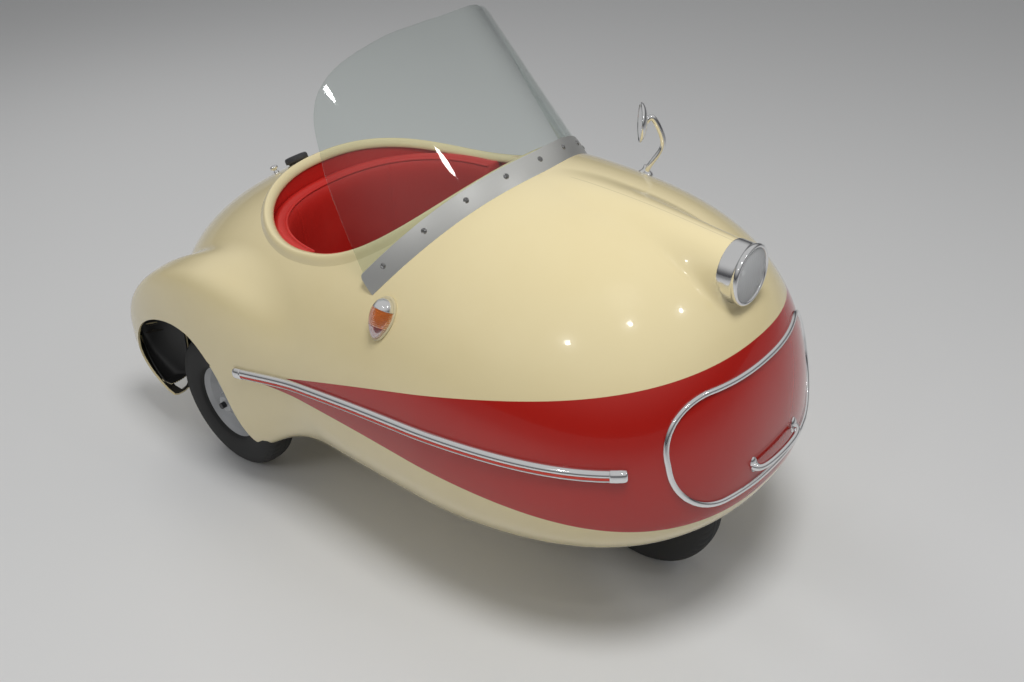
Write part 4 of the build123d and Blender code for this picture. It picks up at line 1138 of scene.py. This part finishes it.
MIRROR_ROOT, MIRROR_OFFSET, MIRROR_BEND = (212.0, -379.0, 819.0), (-7.0, 8.0, 112.0), (23.0, -27.0, 63.0)
MIRROR_FACING, MIRROR_STEM_R = (-0.65, 0.76, 0.05), 5.8
MIRROR_FOOT = (
    (17.0, -9.0), (17.0, -1.0), (15.8, 2.6), (12.5, 5.0), (9.2, 8.0), (7.6, 12.5), (6.2, 18.0), (0.4, 18.4),
)
MIRROR_HEAD = (
    (0.4, -11.5), (9.0, -11.3), (21.0, -9.6), (32.0, -6.4), (38.5, -2.6), (40.8, 0.8), (41.0, 2.8),
    (40.2, 4.0), (38.9, 3.8), (38.4, 2.2), (0.4, 2.2),
)
MIRROR_GLASS = ((0.4, 2.3), (38.2, 2.3), (38.2, 3.2), (30.0, 3.5), (0.4, 3.9))


def make_mirror(finishes):
    """Mirror: a round rod bent outwards on a flared foot, a shallow turned head and its glass."""
    chrome, glass = finishes
    root, facing = np.array(MIRROR_ROOT), unit(np.array(MIRROR_FACING))
    centre = root + MIRROR_OFFSET
    behind = centre - 24 * facing + (0, 0, 9)
    places = [root - (0, 0, 16), root + (1, -7, 14), root + MIRROR_BEND, behind, centre - 7 * facing]
    share = np.linspace(0, 1, 60)
    arm = Piece().tube(rod(spline(places, 60), MIRROR_STEM_R * (1 + 0.10 * share), (0.76, 0.65, 0)))
    foot = on_top([root[0]], [root[1]])[0]
    arm.tube(turned(MIRROR_FOOT, foot, unit(form_normal(foot) + (0, 0, 1.2)), 48))
    arm.build("mirror_arm", "car", "chrome", [chrome], ("mirror_stem",))
    shell = Piece().tube(turned(MIRROR_HEAD, centre, facing, 80))
    shell.build("mirror_shell", "car", "chrome", [chrome], ("mirror_head",))
    face = Piece().tube(turned(MIRROR_GLASS, centre, facing, 80))
    face.build("mirror_face", "car", "mirror_glass", [glass], ("mirror_glass",))


# Tank cap and knob
CAP_PLACE, KNOB_PLACE, KNURL_HIGH, KNURL_WAVES = (0.0, 533.0), (-62.0, 545.0), 0.025, 20
TANK_CAP_SECTION = (
    (24.0, -6.0), (24.0, 3.0), (29.0, 4.0), (29.6, 8.0), (29.2, 15.0), (27.0, 18.2), (22.0, 19.6),
    (17.0, 20.0), (16.0, 18.6), (10.0, 18.4), (0.3, 18.6),
)
KNOB_SECTION = (
    (7.0, -4.0), (7.0, 3.0), (5.0, 5.0), (5.0, 9.0), (9.0, 11.0), (10.5, 14.0), (9.5, 17.0), (6.0, 19.0),
    (0.3, 19.6),
)


def make_deck_fittings(finishes):
    """Knurled cap: radius r (1 + 0.025 |sin(20 turn)|) over a turned profile, and a small domed knob."""
    black, chrome = finishes
    base = on_top(*np.reshape(CAP_PLACE, (2, 1)))[0]
    axis = form_normal(base)
    section = np.array(TANK_CAP_SECTION)
    rings = turned(section, base, axis, 160)
    centre = base + axis * section[:, 1, None, None]
    knurl = KNURL_HIGH * np.abs(np.sin(full_turn(160) * KNURL_WAVES)) * (section[:, 0, None] > 26)
    rings = centre + (rings - centre) * (1 + knurl[..., None])
    Piece().tube(rings).build("tank_cap", "car", "black_metal", [black], ("filler_cap",))
    base = on_top(*np.reshape(KNOB_PLACE, (2, 1)))[0]
    knob = Piece().tube(turned(KNOB_SECTION, base, form_normal(base), 40))
    knob.build("deck_pull", "car", "chrome", [chrome], ("deck_knob",))


# Tyres
TYRE_SECTION = (
    (103.0, -33.0), (106.0, -38.0), (116.0, -41.5), (134.0, -44.0), (152.0, -43.2), (165.0, -39.5),
    (174.0, -34.0), (180.0, -27.0), (183.5, -17.0), (184.7, -8.5),
)
TYRE_BEAD = ((100.0, 30.0), (98.5, 20.0), (98.5, -20.0), (100.0, -30.0))
CROWN_EDGE, TREAD_SLOTS, TREAD_DEPTH, SLOT_LEAN = 8.5, 26, 2.6, 0.004


def make_tyre(name, body, x, y, finish):
    """Tyre: a closed section turned about the axle. Three grooves run round the tread and leaning slots
    cut its shoulders: the radius drops by 2.6 mm where |sin(26 turn)| < 0.34, eased over 0.125, from
    15 to 36 mm off the middle."""
    half = spline(TYRE_SECTION, 34)
    tread = np.linspace(-CROWN_EDGE, CROWN_EDGE, 13)[1:-1]
    crown = np.stack([184.7 + 0.3 * (1 - (tread / CROWN_EDGE) ** 2), tread], -1)
    section = np.concatenate([half, crown, half[::-1] * (1, -1), TYRE_BEAD])
    radius, along = section[:, 0, None], section[:, 1, None]
    turn = full_turn(312)
    over = np.abs(along)
    groove = np.clip(1.6 - np.abs(over - 12.5), 0, 0.8) / 0.8 + np.clip(1.3 - over, 0, 0.6) / 0.6
    lean = turn + np.sign(along) * SLOT_LEAN * over
    slot = np.clip((0.34 - np.abs(np.sin(TREAD_SLOTS * lean))) * 8, 0, 1) * (over > 15) * (over < 36)
    depth = TREAD_DEPTH * np.clip(groove * (radius > 176) + slot * (radius > 171), 0, 1)
    radius = radius - depth
    rings = [x + along + 0 * radius, y + radius * np.cos(turn), TYRE_R + radius * np.sin(turn)]
    tyre = Piece().tube(np.stack(rings, -1), closed=True)
    tyre.build(f"{name}_treaded", body, "tyre_rubber", [finish], (name,))


# Seat
SEAT_BACK_FOOT_Z, SEAT_BACK_TOP_Z, SEAT_BACK_THICK = 401.0, 690.0, 44.0
SEAT_BACK_ENDS, SEAT_BACK_SEAM, OPENING_AROUND, SEAT_BACK_PIPING = (0.005, 0.495), 0.088, 2000, 52
PIPING_R, CUSHION_POWER = 3.2, 5.0
CUSHION_SECTION = (
    (0.9, 0.0), (0.965, 0.04), (0.99, 0.18), (1.0, 0.36), (0.995, 0.55), (0.972, 0.70), (0.955, 0.74),
    (0.93, 0.80), (0.87, 0.865), (0.78, 0.91), (0.64, 0.95), (0.46, 0.98), (0.24, 0.995), (0.02, 1.0),
)


def make_seat_back(finishes):
    """Padded wrap-around back: a rounded section carried round the rear of the opening. The inner
    face bulges as (1 - |2 h - 1|^6)^(1/2) up its height h, dips at two upright seams and thins at its
    ends."""
    first, last = SEAT_BACK_ENDS
    share = np.linspace(first, last, 240)
    x, y = opening_line(share, -2.0)
    inward_x, inward_y = opening_line(share, -40.0)
    inward = unit(np.stack([inward_x - x, inward_y - y], -1))
    from_end = np.minimum(share - first, last - share) * OPENING_AROUND
    thin = np.sqrt(np.clip(1 - (1 - np.clip(from_end / 26, 0, 1)) ** 2, 0.03, 1))
    seams = np.exp(-(((np.abs(share - 0.25) - SEAT_BACK_SEAM) * OPENING_AROUND / 3.2) ** 2))
    height = SEAT_BACK_TOP_Z - SEAT_BACK_FOOT_Z
    inner_z = SEAT_BACK_FOOT_Z + height * (0.5 - 0.5 * np.cos(pi * np.linspace(0, 1, 60)))
    bulge = (1 - np.abs(2 * ((inner_z - SEAT_BACK_FOOT_Z) / height) - 1) ** 6) ** 0.5
    inner_u = SEAT_BACK_THICK * (0.30 + 0.70 * bulge) * thin[:, None] - 2.4 * seams[:, None] * bulge
    outer_z = np.linspace(SEAT_BACK_TOP_Z - 6, SEAT_BACK_FOOT_Z + 4, 12)
    u = np.concatenate([inner_u, np.full((len(share), 12), 0.5)], 1)
    z = np.concatenate([inner_z, outer_z])
    spot = np.stack([x, y], -1)[:, None] + u[..., None] * inward[:, None]
    rings = np.concatenate([spot, np.broadcast_to(z[:, None], spot.shape[:2] + (1,))], -1)
    cover = Piece().tube(rings)
    path = rings[4:-4, SEAT_BACK_PIPING] + (0, 0, 1.0)
    cover.tube(rod(path, PIPING_R + 0 * path[:, 0], (0, 0, 1), 12))
    cover = cover.build("seat_back_cover", "car", "red_lining", finishes, ("seat_back",))


def make_cushion(finishes):
    """Crowned pad: the rounded rectangle |x/a|^5 + |y/b|^5 = 1 grown and lifted along a section
    that bulges at its sides and crowns at its top, with a piping round its upper edge."""
    low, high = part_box("seat_cushion")
    low, high = np.array(low) / MM, np.array(high) / MM
    middle, half = (low + high) / 2, (high - low) / 2
    turn = full_turn(200)
    ray = np.stack([np.cos(turn), np.sin(turn)], -1)
    reach = (np.abs(ray) ** CUSHION_POWER).sum(-1) ** (-1 / CUSHION_POWER)
    edge = ray * reach[:, None] * half[:2]
    fine = spline(CUSHION_SECTION, 70)
    grow, level = fine[:, 0], fine[:, 1]
    spot = edge * grow[:, None, None]
    z = low[2] + (high[2] - low[2]) * level
    z = np.broadcast_to(z[:, None, None], spot.shape[:2] + (1,))
    pad = Piece().tube(np.concatenate([middle[:2] + spot, z], -1))
    rim_z = low[2] + 0.735 * (high[2] - low[2])
    rim = np.concatenate([middle[:2] + edge * 0.968, np.full((200, 1), rim_z)], -1)
    pad.tube(swept(rim, circle(3.0, 10), (0, 0, 1), closed=True), closed=True)
    pad = pad.build("seat_cushion_cover", "car", "red_lining", finishes, ("seat_cushion",))


# Finishes
def band_mask(paint):
    """1 in the red band, between two cubic curves of y that meet at its rear tip."""
    x, y, z = paint.axes()
    top = ((0.0121 * y - 0.0627) * y - 0.302) * y + 0.4746
    low = ((-0.0024 * y - 0.0506) * y - 0.0017) * y + 0.3976
    edge = 0.0006
    return (z - low).step(-edge, edge) * (top - z).step(-edge, edge)


def body_paint(name, colours):
    """Ivory with the red band and a faint dark line along the bonnet, waxed, with orange peel."""
    paint = Finish(name)
    ivory, red = tuple(colours.ivory), tuple(colours.red)
    blotch = paint.noise(2.6, 5.0, 0.6).step(0.42, 0.75)
    aged = paint.mix(blotch * 0.35, ivory, (ivory[0] * 0.93, ivory[1] * 0.90, ivory[2] * 0.82))
    worn_red = (red[0] * 1.15, red[1] * 1.8, red[2] * 2.0)
    faded = paint.mix(paint.noise(3.4, 4.0).step(0.4, 0.8) * 0.4, red, worn_red)
    colour = paint.mix(band_mask(paint), aged, faded)
    x, y, z = paint.axes()
    crest = (abs(x)).step(0.0011, 0.0004) * (z - 0.80).step(0.0, 0.004) * (-0.335 - y).step(0.0, 0.02)
    colour = paint.mix(crest * 0.45, colour, tuple(0.35 * value for value in ivory))
    dust = paint.noise(70.0, 4.0, 0.7)
    waves = paint.bump(paint.noise(7.0, 1.0), 0.0022, 0.35)
    peel = paint.bump(paint.noise(330.0, 2.0), 0.00012, 0.35, waves)
    return paint.shade({
        "Base Color": colour, "Roughness": 0.15 + 0.07 * dust, "Coat Weight": 0.7, "Coat Roughness": 0.035,
        "Normal": peel, "Specular IOR Level": 0.5,
    })


def raw_inside(name, colours):
    """Bare laminate with strands, as on the inner side of a moulding."""
    inside = Finish(name)
    strands = inside.noise(240.0, 4.0, 0.7, (1.0, 0.12, 1.0))
    colour = inside.mix(inside.noise(9.0, 4.0), (0.030, 0.027, 0.022), (0.058, 0.052, 0.042))
    return inside.shade({
        "Base Color": colour, "Roughness": 0.62 + 0.2 * strands, "Normal": inside.bump(strands, 0.0006, 0.7),
    })


def chrome_plate(name, colours):
    """Bright plating with haze and fine pits."""
    chrome = Finish(name)
    haze = chrome.noise(16.0, 4.0, 0.6).step(0.45, 0.8)
    pits = chrome.cells(520.0).step(0.05, 0.22)
    colour = chrome.mix(haze * 0.25, (0.66, 0.66, 0.67), (0.50, 0.495, 0.48))
    return chrome.shade({
        "Base Color": colour, "Metallic": 1.0, "Roughness": 0.055 + 0.10 * haze,
        "Normal": chrome.bump(pits, 0.00004, 0.25),
    })


def brushed_strip(name, colours):
    """Fine streaks along the strip: noise over the height above its foot, 882 - 185 (|x| / 349)^2.4."""
    metal = Finish(name)
    x, y, z = metal.axes()
    above_foot = z + 0.185 * (x * x * 8.21).power(1.2)
    where = metal.node("ShaderNodeCombineXYZ", None, {0: above_foot, 1: x * 0.02, 2: 0.0})
    streaks = metal.node("ShaderNodeTexNoise", None, {"Vector": where, "Scale": 2600.0, "Detail": 3.0})
    haze = metal.noise(24.0, 4.0)
    colour = metal.mix(haze * 0.5, (0.44, 0.44, 0.44), (0.30, 0.30, 0.30))
    return metal.shade({
        "Base Color": colour, "Metallic": 1.0, "Roughness": 0.22 + 0.12 * streaks + 0.08 * haze,
        "Normal": metal.bump(streaks, 0.00006, 0.35),
    })


def dull_steel(name, colours):
    """Steel with dark grime, for the screw heads."""
    steel = Finish(name)
    grime = steel.noise(90.0, 4.0, 0.6).step(0.4, 0.75)
    colour = steel.mix(grime * 0.7, (0.36, 0.36, 0.36), (0.12, 0.115, 0.11))
    return steel.shade({"Base Color": colour, "Metallic": 1.0, "Roughness": 0.24 + 0.2 * grime})


def clear_sheet(name, colours):
    """Clear acrylic: see-through, mixed with a mirror that grows towards grazing angles."""
    clear = Finish(name)
    scratches = clear.noise(55.0, 6.0, 0.75, (1.0, 1.0, 0.25)).step(0.55, 0.85)
    share = (clear.sheen() * 0.9 + 0.014 * scratches).least(0.7)
    return clear.glaze(share, (0.93, 0.95, 0.94), 0.03, (0.90, 0.925, 0.915))


def lamp_glass(name, colours):
    """Clear pressed glass: see-through, mixed with a mirror that the flutes break up."""
    glass = Finish(name)
    dust = glass.noise(60.0, 5.0, 0.7).step(0.5, 0.9)
    share = (glass.sheen() + 0.04 * dust).least(0.8)
    return glass.glaze(share, (0.94, 0.96, 0.96), 0.05, (0.82, 0.85, 0.85))


def reflector_silver(name, colours):
    """Dulled silver with painted shade and painted reflection: it darkens from the middle of the bowl to its
    rim, and painted radial streaks break up the edge of the dark.
    """
    silver = Finish(name)
    x, y, z = silver.axes()
    dull = silver.noise(22.0, 4.0, 0.6).step(0.35, 0.8)
    lift = z - LAMP_Z * MM
    radius = (x * x + lift * lift).power(0.5)
    # Painted reflection: radial streaks that break up the edge of the painted shade below.
    rays = silver.noise(300.0, 3.0, 0.6, (1.0, 0.1, 0.1))
    # Painted shade: 0 in the bright middle of the bowl, 1 at its dark rim.
    rim = (radius + 0.004 * rays).step(0.022, 0.046)
    colour = silver.mix(dull * 0.5, (0.60, 0.59, 0.58), (0.36, 0.35, 0.34))
    # Mixes in the painted shade, near black towards the rim.
    colour = silver.mix(rim * 0.88, colour, (0.05, 0.05, 0.05))
    return silver.shade({"Base Color": colour, "Metallic": 1.0, "Roughness": 0.10 + 0.12 * dull})


def coloured_glass(name, tint):
    """Pressed glass in one tint, dusty on its outer side."""
    glass = Finish(name)
    colour = glass.mix(glass.noise(40.0, 3.0), tint, tuple(0.8 * value for value in tint))
    dust = glass.noise(90.0, 5.0, 0.7).step(0.5, 0.9)
    return glass.shade({
        "Base Color": colour, "Roughness": 0.06 + 0.08 * dust, "Transmission Weight": 0.45, "IOR": 1.45,
        "Coat Weight": 0.8, "Coat Roughness": 0.03,
    })


def leathercloth(name, colours):
    """Grained red leathercloth with faint folds and wear."""
    cloth = Finish(name)
    red = tuple(colours.leather)
    grain = cloth.cells(620.0, "SMOOTH_F1").step(0.0, 0.75)
    folds = cloth.noise(14.0, 4.0, 0.55)
    wear = cloth.noise(5.0, 5.0, 0.6).step(0.45, 0.8)
    colour = cloth.mix(wear * 0.4, red, (red[0] * 1.3, red[1] * 3.4, red[2] * 3.4))
    colour = cloth.mix(grain * 0.12, colour, (red[0] * 0.35, red[1] * 0.4, red[2] * 0.4))
    creases = cloth.bump(folds, 0.004, 0.35)
    return cloth.shade({
        "Base Color": colour, "Roughness": 0.34 + 0.16 * wear + 0.05 * grain,
        "Normal": cloth.bump(grain, 0.00035, 0.5, creases),
    })


def plain_paint(name, colour, roughness, coat, grain=420.0, depth=0.00008):
    """Enamel in one colour with grime and a fine grain."""
    paint = Finish(name)
    grime = paint.noise(12.0, 5.0, 0.65).step(0.4, 0.8)
    tone = paint.mix(grime * 0.5, colour, tuple(value * 0.62 + 0.008 for value in colour))
    return paint.shade({
        "Base Color": tone, "Roughness": roughness + 0.18 * grime, "Coat Weight": coat, "Coat Roughness": 0.1,
        "Normal": paint.bump(paint.noise(grain, 2.0), depth, 0.5),
    })


def rubber(name, tone, roughness):
    """Black rubber with pale dust."""
    skin = Finish(name)
    dust = skin.noise(11.0, 6.0, 0.7).step(0.42, 0.8)
    dusty = (tone * 2.4 + 0.01, tone * 2.3 + 0.01, tone * 2.1 + 0.01)
    colour = skin.mix(dust * 0.5, (tone, tone, tone * 1.04), dusty)
    return skin.shade({
        "Base Color": colour, "Roughness": roughness + 0.12 * dust,
        "Normal": skin.bump(skin.noise(700.0, 3.0), 0.0001, 0.6),
    })


def cast_alloy(name, colours):
    """Sand cast alloy with oil stains."""
    alloy = Finish(name)
    sand = alloy.noise(380.0, 4.0, 0.7)
    oil = alloy.noise(13.0, 5.0, 0.6).step(0.45, 0.75)
    colour = alloy.mix(oil * 0.8, (0.52, 0.52, 0.50), (0.16, 0.14, 0.11))
    return alloy.shade({
        "Base Color": colour, "Metallic": 1.0 - 0.6 * oil, "Roughness": 0.38 + 0.25 * sand,
        "Normal": alloy.bump(sand, 0.0003, 0.6),
    })


def painted_board(name, colours):
    """Dark stained board with a long grain."""
    board = Finish(name)
    grain = board.noise(30.0, 5.0, 0.6, (6.0, 0.35, 1.0))
    colour = board.mix(grain, (0.020, 0.018, 0.016), (0.050, 0.044, 0.038))
    return board.shade({
        "Base Color": colour, "Roughness": 0.5 + 0.25 * grain, "Normal": board.bump(grain, 0.0006, 0.5),
    })


def studio_floor(name, colours):
    """Pale matt floor, the same tone to the eye and in reflections."""
    floor = Finish(name)
    tone = tuple(colours.floor)
    specks = floor.noise(180.0, 3.0, 0.6)
    colour = floor.mix(specks * 0.5, tone, tuple(0.97 * value for value in tone))
    return floor.shade({"Base Color": colour, "Roughness": 0.72, "Specular IOR Level": 0.3})


def plain_mirror(name, colours):
    """Silvered glass with a little dust."""
    glass = Finish(name)
    dust = glass.noise(40.0, 5.0, 0.7).step(0.5, 0.9)
    return glass.shade({"Base Color": (0.88, 0.88, 0.89), "Metallic": 1.0, "Roughness": 0.02 + 0.04 * dust})


FINISHES = {
    "body_paint": body_paint,
    "raw_inside": raw_inside,
    "chrome": chrome_plate,
    "brushed": brushed_strip,
    "screw_steel": dull_steel,
    "clear_sheet": clear_sheet,
    "lamp_glass": lamp_glass,
    "amber_glass": lambda name, colours: coloured_glass(name, tuple(colours.amber)),
    "red_glass": lambda name, colours: coloured_glass(name, tuple(colours.lens_red)),
    "insert_red": lambda name, colours: plain_paint(name, (0.50, 0.012, 0.006), 0.2, 0.4),
    "leathercloth": leathercloth,
    "cream_rubber": lambda name, colours: plain_paint(name, (0.62, 0.54, 0.34), 0.5, 0.0),
    "black_metal": lambda name, colours: plain_paint(name, (0.028, 0.028, 0.030), 0.30, 0.3),
    "frame_black": lambda name, colours: plain_paint(name, (0.018, 0.018, 0.020), 0.42, 0.1),
    "well_black": lambda name, colours: plain_paint(name, (0.012, 0.012, 0.013), 0.72, 0.0, 160.0, 0.0006),
    "wheel_grey": lambda name, colours: plain_paint(name, (0.30, 0.31, 0.32), 0.30, 0.4),
    "mirror": plain_mirror,
    "reflector": reflector_silver,
    "black_rubber": lambda name, colours: rubber(name, 0.016, 0.62),
    "tyre_rubber": lambda name, colours: rubber(name, 0.014, 0.58),
    "alloy": cast_alloy,
    "board": painted_board,
    "floor": studio_floor,
}


def finish(name):
    """The finish of that name, made once."""
    return bpy.data.materials.get(name) or FINISHES[name](name, bpy.context.scene.car_colours)


def dress(finish_name, *nodes):
    """Gives the named parts of the frame a finish."""
    for node in nodes:
        part = frame["nodes"][node]
        if not part.material_slots:
            part.data.materials.append(None)
        for slot in part.material_slots:
            slot.material = finish(finish_name)


# Stage
CAMERA_PLACE = (-1.5367, -1.5400, 1.7321)
CAMERA_AXES = ((0.6464, -0.7619, -0.0408), (0.4314, 0.3209, 0.8431), (-0.6293, -0.5626, 0.5361))
CAMERA_LENS, SENSOR_WIDTH = 37.16, 36.0
LAMPS = (
    ("key", (-0.7, -1.3, 3.7), 1.1, 68.0, False),
    ("side", (-3.4, 1.2, 2.6), 1.6, 14.0, False),
    ("fill", (2.9, -2.4, 2.8), 2.6, 8.0, False),
    ("back", (0.8, 3.2, 3.2), 1.8, 26.0, False),
    ("spot_a", (-1.3, -1.9, 3.4), 0.17, 2.2, True),
    ("spot_b", (0.5, -2.8, 3.2), 0.17, 2.2, True),
    ("spot_c", (-3.0, -0.6, 3.1), 0.17, 2.2, True),
)


def make_floor():
    """A square of floor under the car."""
    size = 60.0
    corners = [(-size, -size, 0), (size, -size, 0), (size, size, 0), (-size, size, 0)]
    mesh = bpy.data.meshes.new("studio_floor")
    mesh.from_pydata(corners, [], [(0, 1, 2, 3)])
    mesh.materials.append(finish("floor"))
    floor = bpy.data.objects.new("studio_floor", mesh)
    bpy.context.scene.collection.objects.link(floor)


def make_lamps():
    """Round area lamps aimed at the car; metal and glass mirror only the small ones."""
    aim = Vector((0, 0, 0.35))
    for name, place, size, power, mirrored in LAMPS:
        light = bpy.data.lights.new(name, "AREA")
        light.shape = "DISK"
        light.size = size
        light.energy = power
        lamp = bpy.data.objects.new(name, light)
        lamp.location = place
        lamp.visible_glossy = mirrored
        lamp.rotation_euler = (aim - Vector(place)).to_track_quat("-Z", "Y").to_euler()
        bpy.context.scene.collection.objects.link(lamp)


def make_world():
    """Even light from all round. The eye sees a pale wash; metal and glass see it darken towards the
    horizon, so that their shape shows."""
    world = bpy.data.worlds.new("studio")
    bpy.context.scene.world = world
    world.use_nodes = True
    tree = world.node_tree
    tree.nodes.clear()
    output = tree.nodes.new("ShaderNodeOutputWorld")
    path = tree.nodes.new("ShaderNodeLightPath")
    light = tree.nodes.new("ShaderNodeBackground")
    light.inputs["Color"].default_value = (0.97, 0.98, 1.0, 1.0)
    light.inputs["Strength"].default_value = 0.27
    direction = tree.nodes.new("ShaderNodeTexCoord")
    parts = tree.nodes.new("ShaderNodeSeparateXYZ")
    tree.links.new(direction.outputs["Generated"], parts.inputs[0])
    height = Wire(tree, parts.outputs[2]).step(0.02, 0.62)
    shade = tree.nodes.new("ShaderNodeMix")
    shade.data_type = "RGBA"
    feed(tree, shade.inputs[0], (height * 0.62).most(Wire(tree, path.outputs["Is Camera Ray"])))
    shade.inputs[6].default_value = (0.06, 0.06, 0.065, 1.0)
    shade.inputs[7].default_value = (0.82, 0.82, 0.81, 1.0)
    wash = tree.nodes.new("ShaderNodeBackground")
    wash.inputs["Strength"].default_value = 1.0
    tree.links.new(shade.outputs[2], wash.inputs["Color"])
    seen = Wire(tree, path.outputs["Is Camera Ray"])
    for ray in ("Is Glossy Ray", "Is Transmission Ray"):
        seen = seen.most(Wire(tree, path.outputs[ray]))
    both = tree.nodes.new("ShaderNodeMixShader")
    feed(tree, both.inputs[0], seen)
    tree.links.new(light.outputs[0], both.inputs[1])
    tree.links.new(wash.outputs[0], both.inputs[2])
    tree.links.new(both.outputs[0], output.inputs["Surface"])


def make_camera():
    """The camera of the photo's view."""
    camera = bpy.data.cameras.new("photo_view")
    camera.lens = CAMERA_LENS
    camera.sensor_width = SENSOR_WIDTH
    camera.clip_end = 200.0
    view = bpy.data.objects.new("photo_view", camera)
    turn = Matrix(CAMERA_AXES).transposed().to_4x4()
    turn.translation = CAMERA_PLACE
    view.matrix_world = turn
    bpy.context.scene.collection.objects.link(view)
    bpy.context.scene.camera = view


# Operators
class CAR_OT_stage(bpy.types.Operator):
    """Add the floor, the soft lamps, the world and the camera"""

    bl_idname = "car.add_stage"
    bl_label = "Stage"

    def execute(self, context):
        context.scene.view_settings.view_transform = "Standard"
        make_floor()
        make_lamps()
        make_world()
        make_camera()
        return {"FINISHED"}


class CAR_OT_body(bpy.types.Operator):
    """Add the upper and lower mouldings of the body and the wheel tubs"""

    bl_idname = "car.add_body"
    bl_label = "Body mouldings"

    def execute(self, context):
        sizes = context.scene.car_body
        skins = [finish("body_paint"), finish("raw_inside")]
        moulding("upper_moulding", False, skins, "cream_paint", ("body_upper",), sizes)
        moulding("lower_moulding", True, skins, "lower_paint", ("body_lower",), sizes)
        make_pod_tails(finish("body_paint"))
        make_wells(finish("well_black"))
        return {"FINISHED"}


class CAR_OT_lip(bpy.types.Operator):
    """Add the rolled lip of the cockpit"""

    bl_idname = "car.add_lip"
    bl_label = "Cockpit lip"

    def execute(self, context):
        make_lip(context.scene.car_body, [finish("body_paint")])
        return {"FINISHED"}


class CAR_OT_windscreen(bpy.types.Operator):
    """Add the clear sheet, its clamp strip and the strip's screws"""

    bl_idname = "car.add_windscreen"
    bl_label = "Windscreen"

    def execute(self, context):
        trim = context.scene.car_trim
        make_screen(trim, [finish("clear_sheet")])
        make_strip(trim, [finish("brushed"), finish("screw_steel")])
        return {"FINISHED"}


class CAR_OT_mouldings(bpy.types.Operator):
    """Add the two side mouldings with their inserts and end caps"""

    bl_idname = "car.add_mouldings"
    bl_label = "Side mouldings"

    def execute(self, context):
        for side, name in ((-1, "right"), (1, "left")):
            make_moulding(side, name, context.scene.car_trim, [finish("chrome"), finish("insert_red")])
        return {"FINISHED"}


class CAR_OT_nose_trim(bpy.types.Operator):
    """Add the ring and the handle on the nose"""

    bl_idname = "car.add_nose_trim"
    bl_label = "Nose ring and handle"

    def execute(self, context):
        make_nose_ring(context.scene.car_trim, finish("chrome"))
        make_nose_handle(context.scene.car_trim, finish("chrome"))
        return {"FINISHED"}


class CAR_OT_lamps(bpy.types.Operator):
    """Add the headlight and the side lamps and dress the tail lamp"""

    bl_idname = "car.add_lamps"
    bl_label = "Lamps"

    def execute(self, context):
        make_headlight([finish("chrome"), finish("lamp_glass"), finish("mirror")])
        make_side_lamps([finish("red_glass"), finish("amber_glass"), finish("chrome")])
        make_lamp_pads(finish("cream_rubber"))
        dress("reflector", "headlight_reflector")
        dress("red_glass", "tail_lamp")
        return {"FINISHED"}


class CAR_OT_fittings(bpy.types.Operator):
    """Add the tank cap and the pull knob and dress the mirror"""

    bl_idname = "car.add_fittings"
    bl_label = "Deck fittings and mirror"

    def execute(self, context):
        make_deck_fittings([finish("black_metal"), finish("chrome")])
        make_mirror([finish("chrome"), finish("mirror")])
        return {"FINISHED"}


class CAR_OT_seat(bpy.types.Operator):
    """Add the padded seat and dress the lining"""

    bl_idname = "car.add_seat"
    bl_label = "Seat and lining"

    def execute(self, context):
        make_seat_back([finish("leathercloth")])
        make_cushion([finish("leathercloth")])
        dress("leathercloth", "cockpit_lining")
        return {"FINISHED"}


class CAR_OT_running_gear(bpy.types.Operator):
    """Add the tyres and dress the wheels, the steering, the frame and the engine"""

    bl_idname = "car.add_running_gear"
    bl_label = "Running gear"

    def execute(self, context):
        make_tyre("front_tyre", "front_wheel_body", 0.0, FRONT_Y, finish("tyre_rubber"))
        make_tyre("rear_tyre_right", "rear_right_wheel_body", -REAR_X, REAR_Y, finish("tyre_rubber"))
        make_tyre("rear_tyre_left", "rear_left_wheel_body", REAR_X, REAR_Y, finish("tyre_rubber"))
        dress("wheel_grey", "front_wheel", "rear_wheel_right", "rear_wheel_left")
        dress("frame_black", "front_fork", "frame", "seat_base")
        dress("chrome", "handlebar")
        dress("black_rubber", "bar_grips", "body_mounts")
        dress("board", "floor_board")
        dress("alloy", "engine")
        return {"FINISHED"}


OPERATORS = (
    CAR_OT_stage, CAR_OT_body, CAR_OT_lip, CAR_OT_windscreen, CAR_OT_mouldings, CAR_OT_nose_trim,
    CAR_OT_lamps, CAR_OT_fittings, CAR_OT_seat, CAR_OT_running_gear,
)


class CAR_PT_panel(bpy.types.Panel):
    """Lists the parts of the car that can be added"""

    bl_idname = "CAR_PT_panel"
    bl_label = "Three wheeled car"
    bl_space_type = "VIEW_3D"
    bl_region_type = "UI"
    bl_category = "Car"

    def draw(self, context):
        for group in (context.scene.car_body, context.scene.car_colours, context.scene.car_trim):
            box = self.layout.box()
            for key in group.bl_rna.properties.keys():
                if key not in ("rna_type", "name"):
                    box.prop(group, key)
        for operator in OPERATORS:
            self.layout.operator(operator.bl_idname)


GROUPS = (("car_body", CarBodySizes), ("car_colours", CarColours), ("car_trim", CarTrimSizes))


def register():
    for name, group in GROUPS:
        bpy.utils.register_class(group)
        setattr(bpy.types.Scene, name, PointerProperty(type=group))
    for operator in OPERATORS:
        bpy.utils.register_class(operator)
    bpy.utils.register_class(CAR_PT_panel)


def unregister():
    bpy.utils.unregister_class(CAR_PT_panel)
    for operator in reversed(OPERATORS):
        bpy.utils.unregister_class(operator)
    for name, group in reversed(GROUPS):
        delattr(bpy.types.Scene, name)
        bpy.utils.unregister_class(group)


def main():
    """Registers the add-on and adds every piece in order."""
    register()
    bpy.ops.car.add_stage()
    bpy.ops.car.add_body()
    bpy.ops.car.add_lip()
    bpy.ops.car.add_windscreen()
    bpy.ops.car.add_mouldings()
    bpy.ops.car.add_nose_trim()
    bpy.ops.car.add_lamps()
    bpy.ops.car.add_fittings()
    bpy.ops.car.add_seat()
    bpy.ops.car.add_running_gear()


if __name__ == "__main__":
    main()
